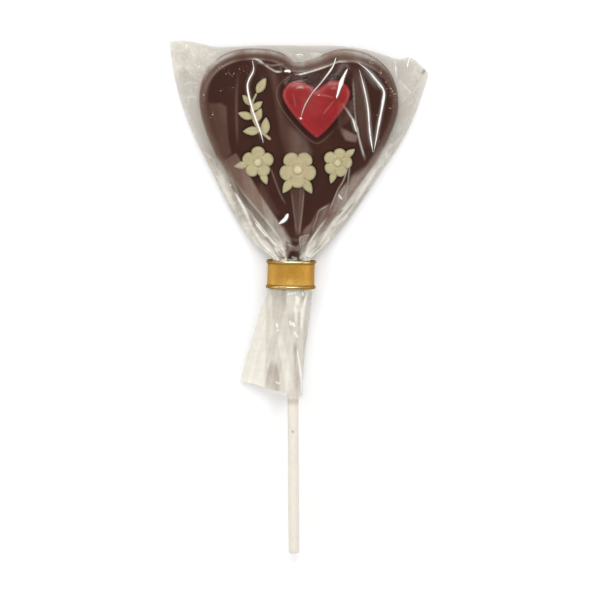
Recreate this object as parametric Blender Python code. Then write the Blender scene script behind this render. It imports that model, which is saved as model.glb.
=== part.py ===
"""Heart-shaped chocolate lollipop in a clear film bag that a gold ring closes, lying on its back.

Metres, +Z up. The stick points to -Y and the shown face to +Z. The origin is on the surface that the
lollipop lies on, under the middle of the whole thing.
"""

import math

import bmesh
import bpy
import numpy as np

# Chocolate heart
HEART_AXIS_X = -0.0010
HEART_TIP_Y = 0.0204
HEART_DIP_Y = 0.0879
HEART_BACK_Z = 0.0007
HEART_THICKNESS = 0.0086
HEART_POINTS = (10, 12, 18)
SHOULDER_RADIUS = 0.0034
SHOULDER_STEPS = 5
RIM_STEP = 0.00025
RIM_STEP_RUN = 0.0006
BACK_CHAMFER = 0.0005
HEART_LEFT = {
    "width": 0.0360,
    "lobe_x": 0.0166,
    "lobe_y": 0.0931,
    "wide_y": 0.0749,
    "dip_pull": 0.0030,
    "lobe_in_pull": 0.0150,
    "lobe_out_pull": 0.0120,
    "side_up_pull": 0.0106,
    "side_down_pull": 0.0200,
    "tip_pull": 0.0115,
}
HEART_RIGHT = {
    "width": 0.0380,
    "lobe_x": 0.0180,
    "lobe_y": 0.0929,
    "wide_y": 0.0722,
    "dip_pull": 0.0075,
    "lobe_in_pull": 0.0074,
    "lobe_out_pull": 0.0070,
    "side_up_pull": 0.0165,
    "side_down_pull": 0.0140,
    "tip_pull": 0.0105,
}
NECK_END_Y = 0.0148
NECK_ROOT_Y = 0.0250
NECK_END_RADIUS = 0.0030
NECK_ROOT_RADIUS = 0.0038
NECK_SHIFT = 0.00035
NECK_SIDES = 24

# Red heart inlay
INLAY_TIP = (0.0067, 0.0601)
INLAY_TURN = math.radians(1.0)
INLAY_DIP_RISE = 0.0185
INLAY_THICKNESS = 0.0027
INLAY_WALL_SHARE = 0.45
INLAY_DOME_SHARES = (0.965, 0.90, 0.80, 0.62, 0.38)
INLAY_DOME_POWER = 4
INLAY_RECESS = 0.0006
INLAY_POINTS = (6, 7, 8)
INLAY_HALF = {
    "width": 0.01275,
    "lobe_x": 0.0068,
    "lobe_y": 0.0216,
    "wide_y": 0.0163,
    "dip_pull": 0.0012,
    "lobe_in_pull": 0.0034,
    "lobe_out_pull": 0.0034,
    "side_up_pull": 0.0030,
    "side_down_pull": 0.0045,
    "tip_pull": 0.0016,
}

# Cream relief
RELIEF_HEIGHT = 0.0016
BLOSSOMS = (
    {"name": "left", "centre": (-0.0152, 0.0512), "radius": 0.0060, "turn": 17, "leaves": (190, 292)},
    {"name": "middle", "centre": (-0.0004, 0.0486), "radius": 0.0070, "turn": 54, "leaves": (238, 300)},
    {"name": "right", "centre": (0.0143, 0.0511), "radius": 0.0055, "turn": 3, "leaves": (252, 38)},
)
PETALS = 5
PETAL_CLEFT = 0.30
PETAL_ROUNDNESS = 0.6
BLOSSOM_SIDES = 50
# Rows are the outline's share drawn in to the middle and the share of the height there
BLOSSOM_PROFILE = ((1.0, 0.50), (0.93, 0.85), (0.78, 1.0), (0.38, 0.60), (0.30, 0.90), (0.16, 1.05))
BLOSSOM_LEAF_LENGTH = 0.95
BLOSSOM_LEAF_FOOT = 0.55
LEAF_PROFILE = ((1.0, 0.36), (0.86, 0.68), (0.45, 0.80))
SPRIG_STEM = ((-0.0104, 0.0596), (-0.0212, 0.0676), (-0.0156, 0.0768))
SPRIG_STEM_WIDTH = 0.0013
SPRIG_LEAF_LENGTH = 0.0066
SPRIG_LEAF_PAIRS = 3
SPRIG_STEM_HEIGHT = 0.0010
SPRIG_STEM_STEPS = 11
LEAF_SLENDERNESS = 0.52
LEAF_SPREAD = math.radians(52)
LEAF_SIDE_POINTS = 8

# Paper stick
STICK_RADIUS = 0.00205
STICK_LENGTH = 0.150
STICK_END = (-0.00185, -0.09585)
STICK_TURN = math.radians(0.35)
STICK_Z = 0.0053
STICK_EDGE = 0.00025
STICK_SIDES = 20

# Gold ring, an oval sleeve with rolled lips
RING_CENTRE = (-0.00298, 0.0089)
RING_HEIGHT = 0.0111
RING_TURN = math.radians(-2.9)
RING_INNER_HALF_WIDTH = 0.00855
RING_INNER_HALF_DEPTH = 0.00425
RING_WALL = 0.00035
RING_LIP_RADIUS = 0.00040
RING_SIDES = 40

# Clear film bag: rows are y, left edge x and right edge x
FILM_WALL = 0.00035
FILM_SIDE_WALL = 0.0005
FILM_EDGE = 0.0008
FILM_EDGES = (
    (-0.0400, -0.0247, 0.0012),
    (-0.0312, -0.0221, 0.0015),
    (-0.0206, -0.0190, 0.0022),
    (-0.0106, -0.0160, 0.0036),
    (-0.0016, -0.0134, 0.0046),
    (0.0024, -0.0115, 0.0047),
    (0.0089, -0.0110, 0.0050),
    (0.0160, -0.0107, 0.0056),
    (0.0184, -0.0142, 0.0088),
    (0.0249, -0.0201, 0.0149),
    (0.0338, -0.0257, 0.0216),
    (0.0472, -0.0324, 0.0306),
    (0.0607, -0.0391, 0.0395),
    (0.0763, -0.0447, 0.0459),
    (0.0841, -0.0465, 0.0481),
    (0.0890, -0.0473, 0.0481),
    (0.0970, -0.0481, 0.0481),
)
FILM_TOP = (
    (-0.0481, 0.0957),
    (-0.0436, 0.0960),
    (-0.0369, 0.0950),
    (-0.0317, 0.0937),
    (-0.0240, 0.0940),
    (-0.0120, 0.0945),
    (0.0020, 0.0941),
    (0.0175, 0.0942),
    (0.0265, 0.0924),
    (0.0317, 0.0908),
    (0.0377, 0.0890),
    (0.0410, 0.0897),
    (0.0481, 0.0841),
)
FILM_MOUTH = ((-0.0230, -0.0312), (-0.0150, -0.0325), (-0.0060, -0.0358), (0.0020, -0.0368))
# Rows are y, edge height, front height, back height and roundness of the section
FILM_HEIGHTS = (
    (-0.0400, 0.0016, 0.0082, 0.0004, 1.5),
    (-0.0200, 0.0028, 0.0086, 0.0010, 1.6),
    (0.0020, 0.0053, 0.0089, 0.0017, 2.0),
    (0.0152, 0.0053, 0.0089, 0.0017, 2.0),
    (0.0200, 0.0037, 0.0096, 0.0000, 1.6),
    (0.0280, 0.0018, 0.0100, 0.0000, 1.3),
    (0.0400, 0.0012, 0.0100, 0.0000, 1.15),
    (0.0970, 0.0012, 0.0100, 0.0000, 1.15),
)
FILM_CROWN = 0.0021
FILM_CROWN_RUN = 0.0085
FILM_GRID = (24, 38)
FILM_SIDE_CROWDING = 0.5
FILM_TOP_CROWDING = 1.6
FILM_PLAN_PASSES = 12
FILM_HOLD = 0.0010
FILM_SHORT_WAY = 0.0040
FILM_SHORT_ROUNDNESS = 2.2
FILM_OPEN_RUN = 0.0300

# Gap between pieces that touch on the real thing
GAP = 0.0003

FACE_Z = HEART_BACK_Z + HEART_THICKNESS - RIM_STEP
STICK_TOP_Y = STICK_END[1] + STICK_LENGTH * math.cos(STICK_TURN)


def clear_scene():
    for obj in list(bpy.data.objects):
        bpy.data.objects.remove(obj, do_unlink=True)


def make_material(name, color, roughness, metallic=0.0, alpha=1.0):
    material = bpy.data.materials.new(name)
    material.use_nodes = True
    shader = material.node_tree.nodes["Principled BSDF"]
    shader.inputs["Base Color"].default_value = (*color, 1.0)
    shader.inputs["Roughness"].default_value = roughness
    shader.inputs["Metallic"].default_value = metallic
    shader.inputs["Alpha"].default_value = alpha
    return material


def link_mesh(name, bm, material=None):
    """Puts the bmesh into the scene as one smooth-shaded object with its faces pointing out."""
    bmesh.ops.recalc_face_normals(bm, faces=bm.faces)
    mesh = bpy.data.meshes.new(name)
    bm.to_mesh(mesh)
    bm.free()
    mesh.shade_smooth()
    mesh.set_sharp_from_angle(angle=math.radians(35))
    obj = bpy.data.objects.new(name, mesh)
    bpy.context.scene.collection.objects.link(obj)
    if material:
        mesh.materials.append(material)
    return obj


def skin(bm, loops):
    """Closed loops of equal length joined by quads, with the first and last loop capped."""
    rings = [[bm.verts.new(point) for point in loop] for loop in loops]
    count = len(rings[0])
    for lower, upper in zip(rings, rings[1:]):
        for i in range(count):
            j = (i + 1) % count
            bm.faces.new((lower[i], lower[j], upper[j], upper[i]))
    bm.faces.new(rings[0][::-1])
    bm.faces.new(rings[-1])


def solid_from_loops(name, loops, material=None):
    bm = bmesh.new()
    skin(bm, loops)
    return link_mesh(name, bm, material)


def as_cutter(obj):
    obj.hide_render = True
    obj.display_type = "WIRE"
    return obj


def add_boolean(obj, name, operation, other):
    modifier = obj.modifiers.new(name, "BOOLEAN")
    modifier.operation = operation
    modifier.solver = "EXACT"
    modifier.object = as_cutter(other)


def bezier(start, start_pull, end_pull, end, count):
    """Points of one cubic curve, without its end point. The pulls are its handles, from either end."""
    t = np.linspace(0.0, 1.0, count, endpoint=False)[:, None]
    points = (1 - t) ** 3 * start + 3 * t * (1 - t) ** 2 * (start + start_pull)
    return points + 3 * t**2 * (1 - t) * (end + end_pull) + t**3 * end


def heart_half(half, dip_y, tip_y, counts):
    """From the dip over the lobe and down the side to the tip, on the +X side of the axis."""
    dip = np.array([0.0, dip_y])
    lobe = np.array([half["lobe_x"], half["lobe_y"]])
    side = np.array([half["width"], half["wide_y"]])
    tip = np.array([0.0, tip_y])
    along = np.array([1.0, 0.0])
    up = np.array([0.0, 1.0])
    from_dip = bezier(dip, half["dip_pull"] * along, -half["lobe_in_pull"] * along, lobe, counts[0])
    over_lobe = bezier(lobe, half["lobe_out_pull"] * along, half["side_up_pull"] * up, side, counts[1])
    down_side = bezier(side, -half["side_down_pull"] * up, half["tip_pull"] * along, tip, counts[2])
    return np.vstack((from_dip, over_lobe, down_side, tip[None]))


def heart_outline(left, right, dip_y, tip_y, counts):
    """One closed outline, anticlockwise from the tip: up the right side and down the left side."""
    right_side = heart_half(right, dip_y, tip_y, counts)[::-1]
    left_side = heart_half(left, dip_y, tip_y, counts) * (-1, 1)
    return np.vstack((right_side[:-1], left_side[:-1]))


def inset(outline, distance):
    """The outline moved inwards by a distance, along the normal of its neighbours' chord."""
    chord = np.roll(outline, -1, axis=0) - np.roll(outline, 1, axis=0)
    chord /= np.linalg.norm(chord, axis=1)[:, None]
    return outline + distance * np.stack((-chord[:, 1], chord[:, 0]), axis=1)


def at_height(outline, z):
    return np.column_stack((outline, np.full(len(outline), z)))


def turned(points, angle, centre):
    """Plan points turned about the origin and moved to a centre."""
    turn = np.array([[math.cos(angle), math.sin(angle)], [-math.sin(angle), math.cos(angle)]])
    return points @ turn + centre


def chocolate_outline():
    outline = heart_outline(HEART_LEFT, HEART_RIGHT, HEART_DIP_Y, HEART_TIP_Y, HEART_POINTS)
    return outline + (HEART_AXIS_X, 0.0)


def inlay_outline(grow=0.0):
    outline = heart_outline(INLAY_HALF, INLAY_HALF, INLAY_DIP_RISE, 0.0, INLAY_POINTS)
    return turned(inset(outline, -grow), INLAY_TURN, INLAY_TIP)


def stick_axis_x(y):
    return STICK_END[0] - math.tan(STICK_TURN) * (y - STICK_END[1])


def make_chocolate(material):
    """The moulded heart with its rounded shoulder, the neck round the stick and the inlay's recess."""
    outline = chocolate_outline()
    top = HEART_BACK_Z + HEART_THICKNESS
    loops = [
        at_height(inset(outline, BACK_CHAMFER), HEART_BACK_Z),
        at_height(outline, HEART_BACK_Z + BACK_CHAMFER),
    ]
    for angle in np.linspace(0, math.pi / 2, SHOULDER_STEPS + 1):
        z = top - SHOULDER_RADIUS * (1 - math.sin(angle))
        loops.append(at_height(inset(outline, SHOULDER_RADIUS * (1 - math.cos(angle))), z))
    loops.append(at_height(inset(outline, SHOULDER_RADIUS + RIM_STEP_RUN), FACE_Z))
    heart = solid_from_loops("chocolate_heart", loops, material)
    add_boolean(heart, "neck", "UNION", make_neck())
    recess_z = (FACE_Z - INLAY_RECESS, FACE_Z + INLAY_THICKNESS)
    recess = [at_height(inlay_outline(grow=GAP), z) for z in recess_z]
    add_boolean(heart, "inlay_recess", "DIFFERENCE", solid_from_loops("inlay_recess_cutter", recess))
    add_boolean(heart, "stick_bore", "DIFFERENCE", make_bore())
    return heart


def rod(name, radii, start_y, end_y, sides, material=None):
    """A round bar or cone along the stick's line, from one y to another."""
    length = (end_y - start_y) / math.cos(STICK_TURN)
    bm = bmesh.new()
    bmesh.ops.create_cone(
        bm,
        cap_ends=True,
        segments=sides,
        radius1=radii[0],
        radius2=radii[1],
        depth=length,
    )
    obj = link_mesh(name, bm, material)
    middle_y = (start_y + end_y) / 2
    obj.location = (stick_axis_x(middle_y), middle_y, STICK_Z)
    obj.rotation_euler = (-math.pi / 2, 0.0, STICK_TURN)
    return obj


def make_neck():
    neck = rod("neck_core", (NECK_END_RADIUS, NECK_ROOT_RADIUS), NECK_END_Y, NECK_ROOT_Y, NECK_SIDES)
    neck.location.x += NECK_SHIFT
    return neck


def make_bore():
    radius = STICK_RADIUS + GAP
    return rod("stick_bore_cutter", (radius, radius), NECK_END_Y - 2 * GAP, STICK_TOP_Y + GAP, NECK_SIDES)


def make_stick(material):
    radii = (STICK_RADIUS, STICK_RADIUS)
    stick = rod("stick", radii, STICK_END[1], STICK_TOP_Y, STICK_SIDES, material)
    bevel = stick.modifiers.new("rounded_ends", "BEVEL")
    bevel.width = STICK_EDGE
    bevel.segments = 1
    bevel.limit_method = "ANGLE"
    bevel.angle_limit = math.radians(60)
    return stick


def make_inlay(material):
    """The red heart: a low wall, then loops drawn in to the middle on a flattened dome."""
    outline = inlay_outline()
    middle = outline.mean(axis=0)
    base = FACE_Z - INLAY_RECESS + GAP
    wall = INLAY_WALL_SHARE
    loops = [at_height(outline, base), at_height(outline, base + wall * INLAY_THICKNESS)]
    for share in INLAY_DOME_SHARES:
        rise = wall + (1 - wall) * (1 - share**INLAY_DOME_POWER) ** 0.5
        loops.append(at_height(middle + share * (outline - middle), base + rise * INLAY_THICKNESS))
    return solid_from_loops("red_heart", loops, material)


def relief_loops(outline, middle, profile):
    """An outline drawn in to its middle and raised from the face, by the rows of a profile."""
    base = FACE_Z + GAP
    loops = [at_height(outline, base)]
    for share, rise in profile:
        loops.append(at_height(middle + share * (outline - middle), base + rise * RELIEF_HEIGHT))
    return loops


def blossom_outline(radius, turn):
    """A round outline whose edge is scalloped into petals with narrow clefts."""
    angle = np.linspace(0, 2 * math.pi, BLOSSOM_SIDES, endpoint=False)
    scallop = np.abs(np.cos(PETALS * (angle - turn) / 2)) ** PETAL_ROUNDNESS
    reach = radius * (1 - PETAL_CLEFT + PETAL_CLEFT * scallop)
    return np.stack((np.cos(angle), np.sin(angle)), axis=1) * reach[:, None]


def leaf_outline(length):
    """An almond from its foot at the origin to its point on +X: half-width is a sine of the length."""
    along = np.linspace(0, 1, LEAF_SIDE_POINTS)
    half = 0.5 * LEAF_SLENDERNESS * length * np.sin(math.pi * along**0.85) ** 0.8
    lower = np.stack((along * length, -half), axis=1)
    upper = np.stack((along * length, half), axis=1)[-2:0:-1]
    return np.vstack((lower, upper))


def make_leaf(name, length, turn, foot):
    outline = turned(leaf_outline(length), turn, foot)
    return solid_from_loops(name, relief_loops(outline, outline.mean(axis=0), LEAF_PROFILE))


def make_blossom(spec, material):
    """Five petals round a button, with a leaf to either side."""
    centre = np.array(spec["centre"])
    outline = blossom_outline(spec["radius"], math.radians(spec["turn"])) + centre
    name = f"cream_blossom_{spec['name']}"
    blossom = solid_from_loops(name, relief_loops(outline, centre, BLOSSOM_PROFILE), material)
    for turn in spec["leaves"]:
        angle = math.radians(turn)
        direction = np.array([math.cos(angle), math.sin(angle)])
        foot = centre + BLOSSOM_LEAF_FOOT * spec["radius"] * direction
        leaf = make_leaf(f"{name}_leaf_{turn}", BLOSSOM_LEAF_LENGTH * spec["radius"], angle, foot)
        add_boolean(blossom, f"leaf_{turn}", "UNION", leaf)
    return blossom


def stem_point(t):
    start, bend, end = (np.array(point) for point in SPRIG_STEM)
    return (1 - t) ** 2 * start + 2 * t * (1 - t) * bend + t**2 * end


def stem_turn(t):
    start, bend, end = (np.array(point) for point in SPRIG_STEM)
    direction = (1 - t) * (bend - start) + t * (end - bend)
    return math.atan2(direction[1], direction[0])


def make_sprig(material):
    """A curved stem with pairs of leaves and a leaf at its end."""
    left_side, right_side = [], []
    for t in np.linspace(0, 1, SPRIG_STEM_STEPS):
        turn = stem_turn(t)
        half_width = 0.5 * SPRIG_STEM_WIDTH * (1 - 0.35 * t)
        across = half_width * np.array([-math.sin(turn), math.cos(turn)])
        left_side.append(stem_point(t) + across)
        right_side.append(stem_point(t) - across)
    outline = np.array(right_side + left_side[::-1])
    base = FACE_Z + GAP
    stem = [at_height(outline, z) for z in (base, base + SPRIG_STEM_HEIGHT)]
    sprig = solid_from_loops("cream_sprig", stem, material)
    leaves = [(1.0, 0.0, 1.0)]
    for pair in range(SPRIG_LEAF_PAIRS):
        for side in (-1, 1):
            place = (pair + 0.6) / (SPRIG_LEAF_PAIRS + 0.7) + 0.05 * side
            leaves.append((place, side * LEAF_SPREAD, 1.0 - 0.10 * pair))
    for number, (place, spread, size) in enumerate(leaves):
        turn = stem_turn(place) + spread
        foot = stem_point(place) - GAP * np.array([math.cos(turn), math.sin(turn)])
        leaf = make_leaf(f"cream_sprig_leaf_{number}", size * SPRIG_LEAF_LENGTH, turn, foot)
        add_boolean(sprig, f"leaf_{number}", "UNION", leaf)
    return sprig


def make_ring(material):
    """The sleeve's wall profile, with a rolled lip at both ends, carried round an oval."""
    half = RING_HEIGHT / 2 - RING_LIP_RADIUS
    lip = [
        (RING_WALL + RING_LIP_RADIUS * math.sin(a), half - RING_LIP_RADIUS * math.cos(a))
        for a in np.radians((0, 60, 120, 180))
    ]
    profile = [(0.0, -half - RING_LIP_RADIUS), (0.0, half + RING_LIP_RADIUS)]
    profile += [(out, up) for out, up in reversed(lip)]
    profile += [(out, -up) for out, up in lip]
    bm = bmesh.new()
    rings = []
    for angle in np.linspace(0, 2 * math.pi, RING_SIDES, endpoint=False):
        section = []
        for out, up in profile:
            x = (RING_INNER_HALF_WIDTH + out) * math.cos(angle)
            z = (RING_INNER_HALF_DEPTH + out) * math.sin(angle)
            section.append(bm.verts.new((x, up, z)))
        rings.append(section)
    for this, after in zip(rings, rings[1:] + rings[:1]):
        for i in range(len(profile)):
            j = (i + 1) % len(profile)
            bm.faces.new((this[i], this[j], after[j], after[i]))
    ring = link_mesh("gold_ring", bm, material)
    ring.location = (*RING_CENTRE, STICK_Z)
    ring.rotation_euler = (0.0, 0.0, RING_TURN)
    return ring


def smooth_table(table, at, level=False):
    """A table of rows read at any place: each column is a smooth curve through its values.

    A level curve runs flat through each row, so that it never passes beyond the rows' values.
    """
    rows = np.array(table)
    slopes = np.gradient(rows[:, 1:], rows[:, 0], axis=0) * (0 if level else 1)
    index = np.clip(np.searchsorted(rows[:, 0], at) - 1, 0, len(rows) - 2)
    step = rows[index + 1, 0] - rows[index, 0]
    t = np.clip((at - rows[index, 0]) / step, 0, 1)[..., None]
    step = step[..., None]
    start, end = rows[index, 1:], rows[index + 1, 1:]
    value = (2 * t**3 - 3 * t**2 + 1) * start + (3 * t**2 - 2 * t**3) * end
    return value + (t**3 - 2 * t**2 + t) * step * slopes[index] + (t**3 - t**2) * step * slopes[index + 1]


def distance_to(points, outline):
    """Shortest distance from each point to a closed outline of straight edges."""
    start = outline[None]
    edge = np.roll(outline, -1, axis=0)[None] - start
    gap = points[:, None] - start
    t = np.clip((gap * edge).sum(2) / (edge**2).sum(2), 0, 1)
    return np.linalg.norm(gap - t[..., None] * edge, axis=2).min(1)


def inside(points, outline):
    """Whether each point lies inside a closed outline, by counting the edges to its right."""
    x, y = points[:, 0:1], points[:, 1:2]
    x0, y0 = outline[:, 0], outline[:, 1]
    x1, y1 = np.roll(x0, -1), np.roll(y0, -1)
    crosses = (y0 > y) != (y1 > y)
    slope = (x1 - x0) / np.where(y1 == y0, 1e-12, y1 - y0)
    return (crosses & (x < x0 + slope * (y - y0))).sum(1) % 2 == 1


def film_plan(pull_in):
    """Grid of plan points over the bag: columns run across and rows from the mouth to the top.

    Columns are closer at both sides and rows at the top, where the film is steep. pull_in moves the
    sides and top inwards.
    """
    u = np.linspace(0, 1, FILM_GRID[0] + 1)
    w = 1 - (1 - np.linspace(0, 1, FILM_GRID[1] + 1)) ** FILM_TOP_CROWDING
    across, along = np.meshgrid(u - FILM_SIDE_CROWDING * np.sin(2 * math.pi * u) / (2 * math.pi), w)
    y = FILM_MOUTH[0][1] + along * (FILM_TOP[0][1] - FILM_MOUTH[0][1])
    for _ in range(FILM_PLAN_PASSES):
        edges = smooth_table(FILM_EDGES, y)
        left, right = edges[..., 0] + pull_in, edges[..., 1] - pull_in
        x = left + across * (right - left)
        mouth = smooth_table(FILM_MOUTH, x)[..., 0]
        top = smooth_table(FILM_TOP, x)[..., 0] - pull_in
        y = mouth + along * (top - mouth)
    return x, y


def border_of(grid):
    """The border of a grid, from its first corner along the first row and round."""
    last_column = [row[-1] for row in grid[:-1]]
    first_column = [row[0] for row in grid[:0:-1]]
    return [*grid[0][:-1], *last_column, *grid[-1][:0:-1], *first_column]


def film_forms(x, y, shrink):
    """Front and back heights of the bag over plan points.

    The height follows the share of the way from the bag's edge to what it holds, rounded where that way
    is short, and a low crown clears the relief on the heart's face.
    """
    sides = np.stack((border_of(x), border_of(y)), axis=1)
    sides[: FILM_GRID[0] + 1, 1] -= FILM_OPEN_RUN
    points = np.stack((x.ravel(), y.ravel()), axis=1)
    held = inset(chocolate_outline(), FILM_HOLD)
    to_edge = distance_to(points, sides)
    stick_gap = np.abs(points[:, 0] - stick_axis_x(points[:, 1])) - STICK_RADIUS
    to_stick = np.where(points[:, 1] < NECK_ROOT_Y, np.maximum(stick_gap, 0), np.inf)
    in_heart = inside(points, held)
    to_heart = distance_to(points, held)
    to_held = np.where(in_heart, 0, np.minimum(to_heart, to_stick))
    way = to_edge + to_held
    share = np.clip(to_edge / np.maximum(way, 1e-9), 0, 1)
    edge_z, front_z, back_z, roundness = smooth_table(FILM_HEIGHTS, points[:, 1], level=True).T
    power = np.maximum(roundness, FILM_SHORT_ROUNDNESS - way / FILM_SHORT_WAY)
    swell = (1 - (1 - share) ** power) ** (1 / power)
    depth = np.where(in_heart, np.clip(to_heart / FILM_CROWN_RUN, 0, 1), 0)
    front_z = front_z + FILM_CROWN * depth**2 * (3 - 2 * depth)
    half = FILM_EDGE / 2 - shrink / 2
    front = edge_z + half + (front_z - shrink - edge_z - half) * swell
    back = edge_z - half + (back_z + shrink - edge_z + half) * swell
    return front.reshape(x.shape), back.reshape(x.shape)


def add_film_surface(bm, pull_in, shrink):
    """Front and back grids joined along the sides and the top. Returns their loop round the mouth."""
    x, y = film_plan(pull_in)
    sheets = []
    for z in film_forms(x, y, shrink):
        sheets.append([[bm.verts.new(point) for point in zip(*row)] for row in zip(x, y, z)])
    for sheet in sheets:
        for lower, upper in zip(sheet, sheet[1:]):
            for i in range(FILM_GRID[0]):
                bm.faces.new((lower[i], lower[i + 1], upper[i + 1], upper[i]))
    front, back = (border_of(sheet) for sheet in sheets)
    for i in range(FILM_GRID[0], len(front)):
        j = (i + 1) % len(front)
        bm.faces.new((front[i], front[j], back[j], back[i]))
    return sheets[0][0] + sheets[1][0][::-1]


def make_film_bag(material):
    """The bag as a thin shell: an outer and an inner surface that meet in the rim of its open mouth."""
    bm = bmesh.new()
    outer = add_film_surface(bm, 0.0, 0.0)
    inner = add_film_surface(bm, FILM_SIDE_WALL, FILM_WALL)
    for i in range(len(outer)):
        j = (i + 1) % len(outer)
        bm.faces.new((outer[i], outer[j], inner[j], inner[i]))
    return link_mesh("film_bag", bm, material)


def main():
    clear_scene()
    chocolate = make_material("dark_chocolate", (0.060, 0.020, 0.014), 0.35)
    red = make_material("red_chocolate", (0.40, 0.030, 0.028), 0.30)
    cream = make_material("white_chocolate", (0.58, 0.50, 0.27), 0.40)
    paper = make_material("stick_paper", (0.82, 0.77, 0.68), 0.75)
    gold = make_material("gold_metal", (0.72, 0.44, 0.09), 0.35, metallic=1.0)
    film = make_material("clear_film", (0.85, 0.84, 0.80), 0.10, alpha=0.25)
    make_chocolate(chocolate)
    make_inlay(red)
    for spec in BLOSSOMS:
        make_blossom(spec, cream)
    make_sprig(cream)
    make_stick(paper)
    make_ring(gold)
    make_film_bag(film)


main()
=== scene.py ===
"""Looks of a heart-shaped chocolate lollipop in a clear film bag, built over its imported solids.

Metres, +Z up, in the frame of the solids: the stick points to -Y and the shown face to +Z. Each piece is a
surface worked out with numpy from two parameters, with its place in its mesh.
"""

import math

import bpy
import numpy as np
from bpy.props import FloatProperty, FloatVectorProperty, IntProperty, PointerProperty
from bpy.types import Operator, Panel, PropertyGroup
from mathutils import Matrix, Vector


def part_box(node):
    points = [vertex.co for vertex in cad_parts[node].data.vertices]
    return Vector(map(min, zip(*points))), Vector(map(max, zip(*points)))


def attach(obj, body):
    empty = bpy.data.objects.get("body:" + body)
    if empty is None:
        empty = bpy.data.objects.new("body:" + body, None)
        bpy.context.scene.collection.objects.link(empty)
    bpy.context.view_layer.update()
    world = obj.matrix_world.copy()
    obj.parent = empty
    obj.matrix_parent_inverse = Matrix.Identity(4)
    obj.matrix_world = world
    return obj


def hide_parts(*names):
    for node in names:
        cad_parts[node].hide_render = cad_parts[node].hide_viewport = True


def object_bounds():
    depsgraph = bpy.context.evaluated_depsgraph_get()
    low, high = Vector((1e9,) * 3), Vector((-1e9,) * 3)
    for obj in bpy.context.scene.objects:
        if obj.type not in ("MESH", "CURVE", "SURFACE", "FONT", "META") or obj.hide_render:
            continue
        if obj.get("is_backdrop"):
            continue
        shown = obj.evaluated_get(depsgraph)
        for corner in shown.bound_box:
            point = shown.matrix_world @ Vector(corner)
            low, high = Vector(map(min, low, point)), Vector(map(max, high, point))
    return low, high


bl_info = {
    "name": "Chocolate Lollipop in Film",
    "version": (1, 0, 0),
    "blender": (4, 5, 0),
    "location": "3D Viewport > Sidebar > Lollipop",
    "description": "Builds a moulded chocolate lollipop, its film bag with a gold ring, and its stage",
    "category": "Add Mesh",
}

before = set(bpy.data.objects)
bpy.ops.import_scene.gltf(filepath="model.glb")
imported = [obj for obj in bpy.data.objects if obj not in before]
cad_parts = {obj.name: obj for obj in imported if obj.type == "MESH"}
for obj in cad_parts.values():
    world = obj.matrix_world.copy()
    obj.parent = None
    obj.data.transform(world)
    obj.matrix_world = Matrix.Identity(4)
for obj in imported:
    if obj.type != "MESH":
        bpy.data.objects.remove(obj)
CAD_LOW, CAD_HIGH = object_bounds()
HEART_LOW, HEART_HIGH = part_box("chocolate_heart")
STICK_LOW, STICK_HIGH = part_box("stick")
RING_LOW, RING_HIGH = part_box("gold_ring")
INLAY_LOW, INLAY_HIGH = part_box("red_heart")

MM = 0.001
BODY = "root"

# Chocolate heart. The rows of a half are, in millimetres: its side where it is widest, the top of its lobe,
# and how far the curve is pulled at the dip, before and after the lobe, above and below the side, at the tip
HEART_AXIS_X = -1.0 * MM
HEART_TIP_Y = 20.4 * MM
HEART_DIP_Y = 87.9 * MM
HEART_LEFT = ((36.0, 74.9), (16.6, 93.1), (3.0, 15.0, 12.0, 10.6, 20.0, 11.5))
HEART_RIGHT = ((38.0, 72.2), (18.0, 92.9), (7.5, 7.4, 7.0, 16.5, 14.0, 10.5))
BACK_Z = HEART_LOW.z
RIM_Z = HEART_HIGH.z
BACK_CHAMFER = 0.5 * MM
SIDE_DRAFT = 0.15 * MM
# how much painted tan sheen lies on the heart's side wall
SIDE_SHEEN = 0.55
RIM_RUN = 0.6 * MM
FACE_WAVE = 0.03 * MM
RECESS_FADE = 0.7 * MM
RECESS_TOP = (20 * MM, 15 * MM)
LIP_HEIGHT = 0.14 * MM
LIP_WIDTH = 0.28 * MM
PITS = ((3.0, 82.1), (12.9, 82.3))
PIT_DEPTH = 0.5 * MM
PIT_HALF = (0.80 * MM, 0.50 * MM)
GROOVE_DEPTH = 0.16 * MM
GROOVE_WIDTH = 0.34 * MM
NECK_ROOT = (24.0 * MM, 3.5 * MM)
NECK_END = (HEART_LOW.y, 2.45 * MM)
NECK_SHIFT = 0.35 * MM

# Red heart inlay
INLAY_TIP = (6.7 * MM, INLAY_LOW.y)
INLAY_TURN = math.radians(1.0)
INLAY_DIP_RISE = 18.5 * MM
INLAY_HALF = ((12.75, 16.3), (6.8, 21.6), (1.2, 3.4, 3.4, 3.0, 4.5, 1.6))
INLAY_SHOULDER = 3.0 * MM
INLAY_DOME = 9 * MM
INLAY_WALL = 0.38

# Cream relief: places and sizes in millimetres, turns in degrees
BLOSSOMS = (
    {"name": "left", "centre": (-15.2, 51.2), "radius": 6.0, "turn": 17, "leaves": (190, 292)},
    {"name": "middle", "centre": (-0.4, 48.6), "radius": 7.0, "turn": 54, "leaves": (238, 300)},
    {"name": "right", "centre": (14.3, 51.1), "radius": 5.5, "turn": 3, "leaves": (252, 38)},
)
PETALS = 5
PETAL_CLEFT = 0.30
PETAL_ROUNDNESS = 0.6
PETAL_EDGE = 0.95 * MM
CLEFT_WIDTH = 0.28 * MM
BUTTON_SHARE = 0.27
BUTTON_RISE = 0.30 * MM
MOAT_SHARE = 0.31
MOAT_DEPTH = 0.42 * MM
MOAT_WIDTH = 0.30 * MM
BLOSSOM_LEAF_LENGTH = 0.95
BLOSSOM_LEAF_FOOT = 0.55
SPRIG_STEM = ((-10.4, 59.6), (-21.2, 67.6), (-15.6, 76.8))
SPRIG_STEM_WIDTH = 1.3 * MM
SPRIG_STEM_HEIGHT = 1.25 * MM
SPRIG_LEAF_LENGTH = 6.6 * MM
SPRIG_LEAF_PAIRS = 3
LEAF_SLENDERNESS = 0.52
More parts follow.
